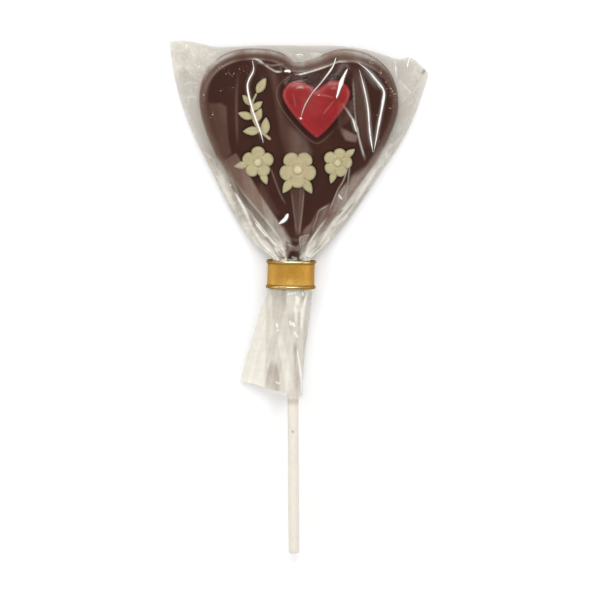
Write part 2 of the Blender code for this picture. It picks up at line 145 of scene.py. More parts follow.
LEAF_SPREAD = math.radians(52)
LEAF_HEIGHT = 0.86
LEAF_EDGE = 0.85 * MM
VEIN_DEPTH = 0.30 * MM
VEIN_WIDTH = 0.16 * MM

# Paper stick and gold ring
STICK_END = (-1.85 * MM, STICK_LOW.y)
STICK_TURN = math.radians(0.35)
STICK_Z = (STICK_LOW.z + STICK_HIGH.z) / 2
STICK_TOP_Y = 22.0 * MM
STICK_SOFT = 0.28 * MM
# Wound layers on the stick's cut end: rows are the share of the radius and how far it is pressed in
STICK_CAP = ((0.15, 0.5), (0.32, 0.0), (0.36, 0.12), (0.60, 0.0), (0.64, 0.10), (0.86, 0.0))
STICK_SPECK = (-0.2 * MM, -49.7 * MM)
SPECK_SIZE = 0.35 * MM
# where the painted shadow of the film's mouth lies across the stick
STICK_SHADE_Y = -38.2 * MM
RING_CENTRE = ((RING_LOW.x + RING_HIGH.x) / 2, (RING_LOW.y + RING_HIGH.y) / 2 + 0.3 * MM)
RING_HEIGHT = 10.6 * MM
RING_TURN = math.radians(-1.1)
RING_INNER = (8.55 * MM, 4.25 * MM)

# Colours that only the finishes use
# painted sheen: the tan that the heart's side, shoulder and lip are paled towards
EDGE_SHEEN_TAN = (0.17, 0.095, 0.066)
WORN_RED = (0.50, 0.16, 0.14)
# painted shade at the foot of the cream forms
RELIEF_FOOT_SHADE = (0.15, 0.09, 0.05)
# the brown of the stick's speck and of the painted shadow below the film's mouth
PAPER_SPECK_AND_SHADOW = (0.20, 0.11, 0.06)
# painted light on the gold: a sheen on its body, shade on its lips and a glint along their middles
GOLD_SHEEN = (0.84, 0.55, 0.15)
GOLD_LIP_SHADE = (0.31, 0.165, 0.028)
GOLD_GLINT = (1.0, 0.84, 0.40)
# painted highlight: the white of the creases' ridges
CREASE_HIGHLIGHT_WHITE = (0.97, 0.965, 0.95)
CREASE_TINT = (0.90, 0.895, 0.88)
FILM_GLOSS = (0.93, 0.92, 0.90)
TAN_CRUMB = (0.44, 0.31, 0.24)
DARK_CRUMB = (0.13, 0.07, 0.045)
# Film by how pale it is: places on the ramp and colours there, for thin film and for thick film
THIN_FILM = ((0.25, (0.64, 0.43, 0.34)), (0.62, (0.77, 0.72, 0.64)))
THICK_FILM = ((0.0, (0.13, 0.095, 0.065)), (0.28, (0.38, 0.32, 0.26)), (0.62, (0.76, 0.71, 0.62)))

# Film bag, in millimetres. Rows are y, left edge x and right edge x
FILM_EDGES = (
    (-40.0, -24.7, 1.2), (-31.2, -22.1, 1.5), (-20.6, -19.0, 2.2), (-10.6, -16.0, 3.6), (-1.6, -13.4, 4.6),
    (2.4, -11.5, 4.7), (8.9, -11.0, 5.0), (16.0, -10.7, 5.6), (18.4, -14.2, 8.8), (24.9, -20.1, 14.9),
    (33.8, -25.7, 21.6), (47.2, -32.4, 30.6), (60.7, -39.1, 39.5), (76.3, -44.7, 45.9), (84.1, -46.5, 48.1),
    (89.0, -47.3, 48.1), (97.0, -48.1, 48.1),
)
# Rows are x and y
FILM_TOP = (
    (-48.1, 95.7), (-43.6, 96.0), (-36.9, 95.0), (-31.7, 93.7), (-24.0, 93.8), (-12.0, 94.2), (2.0, 94.1),
    (17.5, 93.7), (26.5, 92.2), (31.7, 90.6), (37.7, 89.0), (41.0, 89.7), (48.1, 84.1),
)
FILM_MOUTH = ((-23.0, -31.2), (-15.0, -32.5), (-6.0, -35.8), (2.0, -36.8))
# Rows are y, seam height, front height and back height
FILM_HEIGHTS = (
    (-40.0, 1.6, 8.2, 0.4), (-20.0, 2.8, 8.6, 1.0), (2.0, 5.3, 8.9, 1.7), (15.2, 5.3, 8.9, 1.7),
    (20.0, 3.7, 9.6, 0.1), (28.0, 1.8, 10.0, 0.1), (40.0, 1.2, 10.0, 0.1), (97.0, 1.2, 10.0, 0.1),
)
# Cells of the front sheet along and across, passes that place it and draw it taut, and the rows y in
# the ring. The back sheet takes every second point
FILM_GRID = (352, 224)
FILM_PLAN_PASSES = 12
FILM_PASSES = (500, 260, 160)
FILM_CREASE_PASSES = 70
FILM_RING_ROWS = (3.0, 14.6)
BACK_STEP = 2
# Broad pleats below the ring: rows are the share across, the width as a share and the height
TAIL_PLEATS = ((0.12, 0.035, 0.5), (0.34, 0.05, 0.8), (0.52, 0.03, 0.5), (0.88, 0.035, 0.9))
# How solid it is at least, and where it stops being clear beside the face: rows are y and x
FACE_HAZE = 0.012
HAZE_LEFT = (
    (10.0, -3.9), (18.0, -3.9), (20.6, -4.4), (27.5, -8.6), (34.9, -13.4), (44.4, -19.4), (51.7, -27.0),
    (58.0, -36.5), (76.0, -48.0),
)
HAZE_RIGHT = (
    (10.0, 1.9), (18.0, 1.9), (21.9, 2.4), (27.1, 5.2), (31.6, 10.8), (36.8, 17.1), (46.1, 21.0),
    (50.2, 27.6), (58.0, 37.0), (76.0, 48.0),
)
# Patches of the front film that are doubled or folded, and painted reflections on it: how solid and how pale
# each looks, how soft its edge is, and its outline
FILM_PATCHES = (
    (0.10, 0.22, 0.5, ((-35.0, 73.7), (-32.1, 73.0), (-28.7, 73.1), (-26.8, 71.7), (-26.7, 65.9),
        (-26.1, 59.2), (-25.0, 54.7), (-28.0, 51.7), (-30.9, 56.9), (-33.6, 63.6), (-35.4, 69.6))),
    (0.11, 0.22, 1.4, ((-12.3, 87.5), (-10.4, 82.3), (-8.6, 75.6), (-7.8, 69.6), (-6.7, 62.9), (-5.2, 56.9),
        (-3.0, 49.5), (-1.9, 43.1), (2.6, 43.1), (3.4, 48.7), (4.5, 55.4), (1.9, 60.3), (-3.4, 65.1),
        (-6.3, 70.3), (-7.5, 76.3), (-8.2, 82.3), (-9.7, 86.8))),
    (0.06, 0.28, 0.6, ((14.5, 74.1), (16.0, 72.6), (20.1, 74.8), (20.1, 69.6), (17.5, 65.9), (14.5, 63.6))),
    (0.21, 0.27, 0.5, ((15.3, 64.4), (18.3, 62.7), (21.6, 61.2), (21.1, 58.8), (17.5, 59.5), (15.7, 62.1))),
    (0.06, 0.22, 1.4, ((-19.8, 42.0), (-13.8, 42.8), (-7.8, 32.3), (-10.8, 30.5), (-16.0, 34.9))),
    (0.30, 0.34, 1.6, ((30.9, 56.2), (25.7, 49.5), (19.8, 45.7), (17.9, 42.0), (16.4, 36.8), (11.6, 31.6),
        (7.1, 24.9), (10.8, 24.9), (17.1, 31.6), (22.7, 38.3), (28.0, 45.0), (34.7, 54.7))),
    (0.34, 0.40, 0.5, ((17.5, 43.5), (17.9, 38.3), (15.7, 33.8), (10.4, 31.6), (14.5, 40.2))),
    (0.17, 0.26, 0.6, ((7.3, 33.8), (11.6, 36.0), (12.7, 34.6), (10.4, 30.8), (7.1, 27.1), (4.5, 24.5),
        (1.1, 24.5), (1.9, 26.4), (4.5, 28.6))),
    (0.34, 0.30, 0.6, ((0.4, 23.4), (3.7, 24.3), (4.1, 23.0), (2.2, 20.8), (0.9, 20.4))),
    (0.60, 0.44, 1.5, ((-8.9, 26.8), (-6.3, 26.8), (-4.5, 23.4), (-3.4, 20.8), (-4.6, 17.4), (-5.2, 14.8),
        (-8.6, 14.8), (-10.8, 21.9))),
    (0.20, 0.28, 0.5, ((-4.8, 21.9), (-3.0, 20.7), (-1.1, 19.8), (0.8, 20.8), (1.5, 18.9), (0.4, 18.1),
        (-2.2, 18.4), (-4.8, 17.9))),
    (0.78, 0.75, 0.6, ((-12.7, 4.7), (-12.1, -7.9), (-12.1, -19.1), (-13.4, -36.3), (-28.0, -36.3),
        (-20.9, -17.3), (-16.0, -0.5))),
)
# Bands in the front film, laid one over the other, for folds and doubled film and for painted reflections and
# glints on it: how solid and how pale each is, how soft its sides are, the share of its length in which it
# fades at its ends, and rows of x, y and half-width. Two values of one of these are at its start and its end
FILM_BANDS = (
    # on the wings
    (0.27, (0.90, 0.86), 2.2, 0.4, ((-45.6, 92.0, 0.8), (-43.8, 89.6, 1.6), (-40.8, 88.2, 0.8))),
    (0.30, (0.50, 0.52), 1.6, 0.4, ((-44.2, 86.6, 0.5), (-42.8, 83.4, 0.9), (-42.0, 80.0, 0.5))),
    # over the face and the red heart
    ((0.035, 0.02), (0.25, 0.2), 2.2, 0.4, ((0.5, 77.0, 0.6), (5.0, 73.0, 1.2), (8.5, 66.5, 0.6))),
    # painted highlights on the film over the red heart's lobes
    (0.24, 0.85, 0.6, 0.45, ((-2.0, 78.6, 0.05), (0.4, 79.2, 0.12), (2.8, 78.8, 0.05))),
    (0.22, 0.85, 0.6, 0.45, ((11.0, 78.4, 0.05), (13.0, 78.9, 0.12), (14.8, 78.5, 0.05))),
    ((0.05, 0.09), 0.25, 0.4, 0.3, ((-22.0, 88.2, 0.3), (-23.1, 74.1, 0.26), (-22.7, 56.2, 0.34))),
    # a painted sheen inside the right-hand crease
    ((0.03, 0.07), (0.6, 0.7), 1.5, 0.35, ((21.6, 87.5, 0.37), (26.5, 83.4, 0.97), (30.9, 77.8, 0.82))),
    ((0.05, 0.10), (0.14, 0.20), 0.5, 0.15, ((-1.8, 43.5, 1.0), (-1.3, 34.9, 0.8), (-0.6, 23.4, 0.3))),
    ((0.08, 0.15), (0.18, 0.24), 0.4, 0.15, ((1.0, 43.5, 0.8), (0.7, 34.9, 0.6), (0.1, 23.4, 0.2))),
    ((0.06, 0.04), (0.22, 0.2), 0.7, 0.2, ((20.9, 87.5, 0.97), (22.7, 74.1, 1.49), (25.0, 55.4, 0.6))),
    # in the gathered film on the left
    ((0.18, 0.50), (0.24, 0.46), 0.9, (0.015, 0.25), ((-26.1, 53.4, 2.61), (-21.6, 45.7, 2.68),
        (-15.3, 35.3, 2.54), (-8.6, 25.6, 2.24), (-5.2, 19.3, 1.3))),
    (0.7, (0.47, 0.5), 1.6, 0.4, ((-23.5, 35.7, 1.12), (-21.2, 31.2, 1.86), (-19.4, 26.0, 1.12))),
    ((0.55, 0.66), (0.17, 0.42), 0.5, 0.22, ((-26.1, 47.2, 0.37), (-23.5, 41.3, 0.82), (-19.4, 35.7, 0.52),
        (-13.4, 27.8, 0.3), (-6.3, 18.5, 0.3))),
    ((0.3, 0.66), 0.62, 0.3, 0.25, ((-24.2, 45.4, 0.2), (-19.4, 38.3, 0.22), (-13.8, 31.6, 0.3),
        (-8.6, 24.9, 0.2), (-5.2, 19.6, 0.15))),
    ((0.8, 0.85), (0.84, 0.94), 0.4, 0.25, ((-24.2, 40.5, 0.15), (-21.2, 35.3, 0.22), (-18.3, 29.7, 0.22))),
    ((0.62, 0.7), (0.4, 0.5), 0.6, 0.3, ((-20.5, 34.9, 0.45), (-15.3, 27.1, 0.52), (-7.8, 17.4, 0.45))),
    ((0.8, 0.84), (0.88, 0.76), 0.4, 0.25, ((-18.3, 32.3, 0.2), (-12.3, 24.5, 0.22), (-5.6, 16.7, 0.15))),
    (0.75, (0.42, 0.46), 0.3, 0.3, ((-26.1, 42.8, 0.19), (-23.5, 35.7, 0.19), (-19.0, 26.4, 0.22))),
    (0.72, (0.46, 0.54), 0.4, 0.3, ((-18.6, 26.4, 0.3), (-15.3, 21.6, 0.4), (-11.9, 17.1, 0.3))),
    # in the gathered film on the right
    ((0.55, 0.8), (0.56, 0.68), 1.1, 0.2, ((37.7, 62.1, 1.12), (32.1, 51.7, 1.86), (26.1, 43.5, 1.86),
        (20.1, 35.3, 1.86), (13.8, 26.7, 2.24), (6.3, 17.4, 1.86))),
    ((0.7, 0.72), (0.5, 0.56), 1.4, 0.3, ((29.5, 43.5, 1.12), (23.5, 35.3, 1.68), (17.1, 27.1, 1.86),
        (10.1, 19.3, 1.12))),
    ((0.6, 0.82), (0.74, 0.78), 0.5, 0.25, ((31.7, 51.7, 0.2), (24.2, 42.0, 0.28), (18.3, 34.6, 0.25),
        (11.9, 26.4, 0.3), (7.1, 19.6, 0.25))),
    ((0.66, 0.7), (0.36, 0.46), 0.4, 0.3, ((23.5, 38.3, 0.22), (17.5, 32.3, 0.3), (10.8, 24.1, 0.22))),
    (0.7, (0.42, 0.46), 0.4, 0.3, ((28.0, 44.7, 0.2), (20.1, 33.2, 0.3), (14.2, 25.7, 0.3),
        (8.6, 18.6, 0.3))),
    (0.7, 0.22, 0.3, 0.3, ((13.0, 30.5, 0.19), (14.9, 32.3, 0.3), (16.8, 33.8, 0.19))),
    ((0.45, 0.66), (0.60, 0.76), 0.4, 0.3, ((10.8, 31.6, 0.15), (7.1, 26.0, 0.18), (2.6, 19.6, 0.2))),
    # at the neck, and last the marks at the right wing's corner
    ((0.76, 0.8), (0.76, 0.82), 0.9, (0.4, 0.05), ((-15.0, 23.5, 0.3), (-11.9, 19.9, 0.7),
        (-10.4, 17.8, 0.9), (-9.4, 14.4, 0.7))),
    ((0.72, 0.8), (0.62, 0.74), 0.9, (0.5, 0.1), ((-8.2, 23.4, 0.6), (-7.0, 18.6, 1.1), (-6.8, 13.7, 2.2))),
    ((0.74, 0.8), (0.62, 0.74), 0.8, (0.5, 0.1), ((5.8, 23.8, 0.6), (4.2, 18.6, 1.2), (3.9, 13.7, 1.9))),
    ((0.66, 0.68), (0.40, 0.30), 0.7, 0.25, ((-8.3, 18.2, 0.2), (-7.0, 16.4, 0.6), (-5.8, 15.0, 0.6))),
    ((0.7, 0.72), (0.40, 0.48), 0.35, 0.3, ((-8.4, 20.6, 0.12), (-6.6, 18.2, 0.16), (-5.3, 16.0, 0.12))),
    ((0.72, 0.74), (0.84, 0.9), 0.35, 0.3, ((-9.4, 19.8, 0.15), (-8.0, 17.4, 0.2), (-7.0, 15.6, 0.15))),
    ((0.45, 0.35), (0.46, 0.44), 0.25, 0.3, ((-5.0, 20.9, 0.08), (-3.2, 20.2, 0.1), (-1.3, 19.3, 0.08))),
    ((0.5, 0.6), (0.38, 0.46), 0.3, 0.25, ((-2.6, 16.4, 0.12), (-2.0, 15.5, 0.3), (-0.4, 15.3, 0.3))),
    ((0.6, 0.66), (0.50, 0.60), 0.4, 0.2, ((0.2, 15.2, 0.3), (1.2, 16.1, 0.4), (2.3, 17.6, 0.5))),
    (0.5, 0.13, 0.2, 0.3, ((3.8, 22.1, 0.1), (2.5, 20.6, 0.14), (1.3, 19.2, 0.12))),
    (0.5, 0.12, 0.25, 0.3, ((-6.9, 15.8, 0.12), (-5.9, 15.5, 0.26), (-4.8, 15.9, 0.12))),
    (0.5, 0.08, 0.2, 0.3, ((2.6, 15.9, 0.1), (3.3, 15.6, 0.2), (4.2, 15.8, 0.1))),
    (0.5, 0.10, 0.2, 0.3, ((5.1, 15.9, 0.1), (5.8, 15.6, 0.16), (6.5, 15.8, 0.1))),
    (0.6, (0.14, 0.16), 0.3, 0.3, ((47.0, 86.4, 0.22), (46.6, 84.9, 0.48), (45.5, 83.0, 0.26))),
    (0.4, 0.2, 0.3, 0.3, ((44.4, 81.9, 0.15), (44.0, 81.2, 0.26), (43.6, 80.4, 0.15))),
    # in the tail
    ((0.72, 0.7), (0.58, 0.62), 0.6, 0.1, ((-11.7, 4.0, 0.7), (-11.4, -11.7, 0.6), (-11.6, -32.5, 0.5))),
    ((0.74, 0.66), (0.78, 0.72), 0.5, 0.2, ((-10.5, 4.0, 0.2), (-10.1, -9.8, 0.3), (-10.4, -19.1, 0.4))),
    ((0.74, 0.68), (0.48, 0.60), 1.4, (0.02, 0.6), ((-7.6, 4.0, 2.1), (-7.3, -5.0, 2.0),
        (-7.0, -15.0, 1.4))),
    ((0.76, 0.7), (0.36, 0.5), 0.8, (0.02, 0.5), ((-5.9, 4.0, 0.5), (-5.6, 0.0, 0.5), (-5.0, -6.0, 0.4))),
    ((0.74, 0.7), (0.44, 0.56), 0.9, 0.4, ((-3.4, -3.0, 0.5), (-2.9, -8.0, 0.8), (-1.9, -15.5, 0.7))),
    ((0.74, 0.7), (0.38, 0.46), 0.6, (0.02, 0.5), ((0.9, 4.0, 0.6), (1.5, 0.6, 0.6), (0.9, -3.0, 0.4))),
    (0.70, (0.46, 0.54), 0.5, 0.25, ((0.2, -2.6, 0.25), (0.1, -8.0, 0.35), (0.3, -15.0, 0.3))),
    ((0.80, 0.76), (0.66, 0.62), 0.4, (0.05, 0.5), ((-3.2, 2.4, 0.8), (-3.3, 0.0, 1.1), (-3.4, -3.8, 0.5))),
    ((0.88, 0.84), (0.94, 0.86), 0.3, 0.2, ((-4.3, 1.3, 0.14), (-3.7, 2.2, 0.16), (-2.2, 2.3, 0.2),
        (-0.6, 2.6, 0.26))),
    ((0.90, 0.84), (1.0, 0.90), 0.35, 0.25, ((-1.9, 1.2, 0.3), (-0.5, 0.4, 0.45), (-0.7, -1.2, 0.5),
        (-0.2, -2.6, 0.1))),
    ((0.84, 0.76), (0.94, 0.78), 0.35, 0.3, ((-1.5, -0.8, 0.2), (-1.2, -4.8, 0.25), (-0.9, -9.4, 0.12))),
    ((0.50, 0.60), (0.40, 0.44), 1.2, (0.35, 0.02), ((-9.2, -22.0, 0.2), (-9.7, -28.0, 1.5),
        (-9.9, -34.5, 2.3))),
    ((0.74, 0.76), (0.76, 0.78), 1.0, 0.25, ((-7.5, -11.7, 0.5), (-5.2, -23.6, 0.9), (-3.0, -36.6, 0.9))),
    ((0.72, 0.7), 0.52, 0.6, 0.2, ((-2.2, -13.7, 0.4), (-1.1, -21.4, 0.6), (-0.6, -36.0, 0.7))),
    ((0.34, 0.42), (0.80, 0.66), 0.6, 0.1, ((4.9, 4.0, 0.9), (3.9, -6.0, 1.3), (3.2, -11.7, 1.2),
        (2.4, -36.5, 0.6))),
    ((0.80, 0.76), (0.34, 0.50), 0.5, 0.3, ((-1.9, -15.0, 0.2), (-1.2, -21.0, 0.3), (-0.5, -27.5, 0.3))),
    ((0.82, 0.76), (0.92, 0.82), 0.4, 0.2, ((3.5, 3.4, 0.3), (2.6, 0.3, 0.3), (1.7, -2.7, 0.35),
        (1.1, -6.4, 0.35), (1.0, -13.0, 0.2))),
)
# How soft a fold line is, and the share of its length in which it fades at both ends
FOLD_SOFT = 0.32
FOLD_FADE = 0.2
# Thin lines where the front film is folded, the pale ones painted highlights along the folds: how solid and
# how pale each is, its half-width and its points
FOLD_LINES = (
    (0.42, 0.86, 0.16, ((15.2, 74.1), (18.0, 70.2), (21.2, 64.9), (22.1, 60.9), (23.4, 55.9), (24.8, 51.3))),
    (0.20, 0.60, 0.12, ((19.8, 83.4), (20.2, 78.1), (20.7, 69.9), (21.6, 62.4))),
    (0.30, 0.80, 0.12, ((26.5, 84.5), (28.7, 81.3), (30.3, 78.1))),
    (0.62, 0.90, 0.12, ((-18.2, 89.5), (-15.2, 89.2), (-11.9, 86.9), (-8.5, 84.9), (-5.2, 85.0))),
    (0.55, 0.88, 0.14, ((-3.0, 84.3), (0.0, 83.8), (5.6, 85.2), (10.9, 87.0), (15.0, 88.5), (20.3, 88.2))),
    (0.24, 0.60, 0.14, ((-16.4, 88.8), (-12.8, 87.6), (-8.9, 87.2), (-4.6, 88.0))),
    (0.38, 0.60, 0.08, ((19.5, 55.1), (18.9, 53.0), (16.7, 45.0), (14.5, 41.2), (12.7, 36.9), (10.7, 31.7))),
    (0.32, 0.56, 0.07, ((18.9, 53.0), (18.6, 48.1), (18.0, 42.5), (17.6, 40.0), (17.2, 36.6), (15.8, 34.2))),
    (0.36, 0.62, 0.08, ((11.1, 35.4), (7.5, 33.2), (6.5, 30.1), (5.3, 27.0), (5.3, 24.6))),
    (0.34, 0.58, 0.06, ((0.9, 18.7), (0.3, 22.7), (1.6, 23.9), (3.7, 24.1), (4.5, 22.6))),
    (0.10, 0.90, 0.08, ((13.4, 74.8), (10.8, 71.5), (8.6, 68.9))),
    (0.14, 0.28, 0.08, ((-3.0, 42.0), (-2.1, 34.9), (-0.6, 23.7))),
    (0.20, 0.34, 0.08, ((1.9, 42.0), (1.2, 33.1), (0.0, 23.7))),
    (0.12, 0.42, 0.12, ((-11.0, 50.6), (-7.2, 40.2), (-4.5, 34.9))),
    (0.70, 0.95, 0.12, ((-8.7, -30.9), (-7.8, -31.6), (-6.8, -31.3))),
    # painted highlights at the red heart's cleft and along its outline
    (0.50, 0.95, 0.10, ((7.0, 76.2), (7.3, 76.3), (7.6, 76.2))),
    (0.18, 0.60, 0.06, ((-4.9, 77.6), (-3.5, 80.2), (-0.7, 81.3), (2.8, 81.3))),
    (0.12, 0.80, 0.08, ((7.3, 76.3), (10.8, 75.9), (13.4, 74.9))),
    (0.07, 0.50, 0.06, ((-2.4, 77.3), (-1.6, 74.2), (-1.2, 71.5))),
    (0.40, 0.90, 0.15, ((35.4, 89.5), (36.0, 86.0), (36.2, 82.0))),
    (0.36, 0.86, 0.20, ((36.9, 82.0), (40.2, 78.0), (42.1, 76.0))),
    (0.34, 0.50, 0.20, ((41.0, 76.5), (38.5, 73.0), (37.7, 69.0))),
    (0.36, 0.84, 0.18, ((-42.5, 80.0), (-39.5, 80.6), (-37.0, 80.2))),
    (0.34, 0.48, 0.20, ((-43.2, 88.0), (-42.6, 82.5), (-42.9, 77.0))),
    (0.36, 0.84, 0.20, ((-43.4, 74.8), (-40.0, 75.3), (-37.4, 74.9))),
)

# The film's painted glow beside a crease's painted highlight: how strong, how solid and how pale it is, and
# how far it reaches. Last, the section of the ridge along the crease
CREASE_GLOW = 0.24
GLOW_SOLID = 0.8
GLOW_TONE = 0.95
GLOW_HALF = 0.3
GLOW_SOFT = 0.9
CREASE_SECTION = ((-1, -0.12), (1, -0.12), (0.55, 0.2), (0, 0.32), (-0.55, 0.2))
# Creases in the film, whose white ridges are painted highlights: the width of each, how bright it is and
# points along it. Three values of width or brightness are at its start, middle and end
CREASES = (
    ((0.45, 0.7, 0.4), 1.00, ((-17.2, 89.0), (-16.8, 85.3), (-19.0, 79.7), (-17.2, 71.1), (-14.2, 62.5),
        (-13.1, 58.4))),
    ((0.7, 0.45, 0.40), (1.00, 0.44, 0.50), ((13.7, 90.0), (12.3, 86.3), (8.0, 80.6), (5.2, 77.4),
        (2.9, 73.8), (1.6, 70.9), (0.7, 67.8))),
    (0.70, 0.90, ((0.8, 68.0), (0.6, 67.3))),
    ((0.5, 1.4, 1.0), 1.00, ((18.0, 86.0), (15.9, 81.6), (13.8, 75.0))),
    ((0.30, 0.5, 0.6), 1.00, ((22.3, 85.6), (24.1, 78.8), (25.5, 71.6), (26.2, 62.7), (27.4, 54.9))),
    ((0.3, 0.9, 0.4), 0.95, ((21.6, 88.2), (24.8, 85.9), (27.7, 82.7), (31.2, 78.1), (31.1, 73.8),
        (29.5, 65.2), (28.6, 59.9), (27.7, 54.9))),
    (0.90, 1.00, ((-5.4, 84.9), (-4.2, 85.1), (-3.0, 84.7))),
    (0.60, 0.85, ((-1.2, 90.7), (0.6, 90.9), (1.6, 90.4))),
    (0.50, 0.60, ((3.6, 91.0), (6.0, 91.2), (8.6, 90.8))),
    ((1.7, 1.3, 0.4), 1.00, ((-4.0, 32.2), (-5.2, 30.0), (-7.5, 28.3))),
    (0.40, 0.80, ((12.1, 26.7), (15.2, 28.9), (18.6, 30.9))),
    (0.50, 0.80, ((5.0, 16.8), (3.4, 15.6))),
    (0.50, 0.80, ((-22.9, 37.5), (-20.8, 34.3), (-18.5, 29.5))),
    (0.50, 0.90, ((-16.4, 28.6), (-13.7, 25.4), (-11.6, 23.0))),
    (0.40, 0.90, ((19.8, 67.6), (20.6, 64.8), (21.3, 62.4))),
    ((0.3, 0.8, 0.3), 0.80, ((14.6, 39.3), (15.4, 38.2), (16.2, 37.4))),
    (0.50, 0.80, ((-41.8, 95.0), (-41.9, 92.7))),
    (0.50, 0.70, ((-38.6, 87.6), (-38.0, 86.9))),
    (0.50, 0.70, ((-37.4, 86.9), (-36.9, 86.1))),
    (0.40, 0.60, ((-40.4, 84.6), (-40.0, 83.9))),
    (0.45, 0.70, ((-33.4, 53.2), (-33.0, 52.2))),
    (0.50, 0.90, ((-25.5, 42.9), (-25.1, 42.3))),
    (0.55, 0.90, ((41.0, 89.5), (40.1, 86.0))),
    (0.45, 0.80, ((35.8, 86.8), (36.0, 84.5))),
    (1.00, 1.00, ((-8.4, -9.2), (-8.0, -10.8))),
    (0.50, 0.90, ((-7.8, -11.2), (-7.9, -12.2))),
    (0.60, 1.00, ((-3.4, -8.0), (-2.9, -9.9))),
    (0.80, 1.00, ((-2.5, -8.6), (-1.5, -10.4))),
    (0.85, 1.00, ((-1.8, -12.0), (-1.2, -13.2), (-0.5, -14.7))),
    (0.55, 1.00, ((1.3, 3.0), (1.5, 1.2))),
    ((0.7, 1.3, 1.2), 1.00, ((-0.8, -18.5), (0.0, -25.0), (0.6, -30.0), (1.1, -35.8))),
)

# Crumbs in the bag, in millimetres: rows are x, y and size. Finer ones lie within about the reach of each
CRUMB_FINES = 4
CRUMB_REACH = 0.7
TAN_CRUMBS = (
    (-28.9, 77.7, 0.45), (-24.3, 78.9, 0.39), (-31.9, 68.9, 0.63), (-32.6, 67.9, 0.39), (-35.2, 76.2, 0.60),
    (-27.0, 84.0, 0.51), (-25.6, 83.9, 0.45), (-24.1, 84.0, 0.63), (-22.0, 85.8, 0.42), (-20.4, 85.0, 0.36),
    (-19.0, 84.4, 0.33), (-18.8, 85.6, 0.33), (-29.6, 86.5, 0.54), (-28.2, 86.8, 0.60), (26.2, 88.2, 0.60),
    (27.3, 87.8, 0.42), (30.3, 84.3, 0.69), (32.1, 80.9, 0.51), (33.9, 78.6, 0.66), (34.6, 77.6, 0.54),
    (35.5, 76.6, 0.78), (33.7, 71.3, 0.51), (28.9, 68.8, 0.45), (30.2, 83.0, 0.36), (35.9, 74.4, 0.36),
)
DARK_CRUMBS = (
    (14.0, 26.7, 0.60), (16.1, 28.8, 0.70), (45.8, 84.0, 0.55), (46.5, 84.8, 0.50), (45.2, 83.0, 0.40),
    (41.0, 83.0, 0.30), (43.5, 81.5, 0.26), (4.0, 47.0, 0.20), (-8.2, 16.6, 0.45), (-5.4, 16.0, 0.50),
    (-3.4, 15.8, 0.60), (-1.6, 15.9, 0.55), (0.8, 16.2, 0.50), (2.6, 16.1, 0.40),
)

# Stage
FLOOR_HALF = 4.0
CAMERA_AIM = (0.4 * MM, -0.5 * MM, 5.0 * MM)
# Soft lights: name, direction round the lollipop and above it in degrees, distance, size and brightness
LIGHTS = (
    ("head_panel", 90, 42, 0.9, (0.45, 0.9), 3.9),
    ("foot_panel", 270, 36, 0.9, (0.45, 0.9), 2.2),
    ("left_panel", 180, 36, 0.9, (0.45, 0.9), 3.0),
    ("right_panel", 0, 36, 0.9, (0.45, 0.9), 2.8),
    ("strip_light", 90, 64, 1.0, (0.05, 0.42), 20.0),
)


# Numbers on arrays


def smooth_step(low, high, value):
    """0 below low, 1 above high, and a curve level at both ends between them."""
    t = np.clip((value - low) / (high - low), 0, 1)
    return t * t * (3 - 2 * t)


def rounding(distance, run):
    """Quarter-circle rise from 0 at the edge to 1 where the distance reaches the run."""
    t = np.clip(distance / run, 0, 1)
    return np.sqrt(1 - (1 - t) ** 2)


def bell(value, width):
    """1 at 0, falling off on both sides as e to the minus square of value over width."""
    return np.exp(-((value / width) ** 2))


def toward(value, target, share):
    """A value moved by a share of its way to a target."""
    return value + (target - value) * share


def spread(values, share):
    """One value for a whole line, or several at equal steps of it, read at shares of its length."""
    values = np.atleast_1d(values)
    return np.interp(share, np.linspace(0, 1, len(values)), values)


def full_turn(count):
    """Angles at equal steps of a whole turn."""
    return np.linspace(0, 2 * math.pi, count, endpoint=False)


def smooth_table(table, at, level=False):
    """A table in millimetres read at any place in metres: each column is a smooth curve through its rows.

    A level curve runs flat through each row, so that it never passes beyond the rows' values.
    """
    rows = np.array(table) * MM
    slopes = np.gradient(rows[:, 1:], rows[:, 0], axis=0) * (0 if level else 1)
    index = np.clip(np.searchsorted(rows[:, 0], at) - 1, 0, len(rows) - 2)
    step = rows[index + 1, 0] - rows[index, 0]
    t = np.clip((at - rows[index, 0]) / step, 0, 1)[..., None]
    step = step[..., None]
    start, end = rows[index, 1:], rows[index + 1, 1:]
    value = (2 * t**3 - 3 * t**2 + 1) * start + (3 * t**2 - 2 * t**3) * end
    value += (t**3 - 2 * t**2 + t) * step * slopes[index] + (t**3 - t**2) * step * slopes[index + 1]
    return np.moveaxis(value, -1, 0)


def waves(x, y, size, seed, octaves=3):
    """Smooth noise from about -1 to 1: sine waves in seeded directions, finer and weaker by octave."""
    draw = np.random.default_rng(seed)
    total = np.zeros(np.broadcast(x, y).shape)
    weight = 0.0
    for octave in range(octaves):
        for _ in range(5):
            angle, phase = draw.uniform(0, 2 * math.pi, 2)
            rate = 2 * math.pi * 1.9**octave / size * draw.uniform(0.7, 1.3)
            total += np.sin(rate * (x * math.cos(angle) + y * math.sin(angle)) + phase) / 1.7**octave
        weight += 5 / 1.7 ** (2 * octave)
    return total / math.sqrt(weight)


def bezier(start, start_pull, end_pull, end, count=120):
    """Points of one cubic curve, without its end point. The pulls are its handles, from either end."""
    t = np.linspace(0.0, 1.0, count, endpoint=False)[:, None]
    points = (1 - t) ** 3 * start + 3 * t * (1 - t) ** 2 * (start + start_pull)
    return points + 3 * t**2 * (1 - t) * (end + end_pull) + t**3 * end


def evenly(points, count, closed=True):
    """The points of a line read again at equal steps of its length."""
    line = np.vstack((points, points[:1])) if closed else np.asarray(points)
    steps = np.linalg.norm(np.diff(line, axis=0), axis=1)
    length = np.concatenate(([0.0], np.cumsum(steps)))
    at = np.linspace(0, length[-1], count, endpoint=not closed)
    return np.stack([np.interp(at, length, line[:, k]) for k in range(line.shape[1])], axis=1)


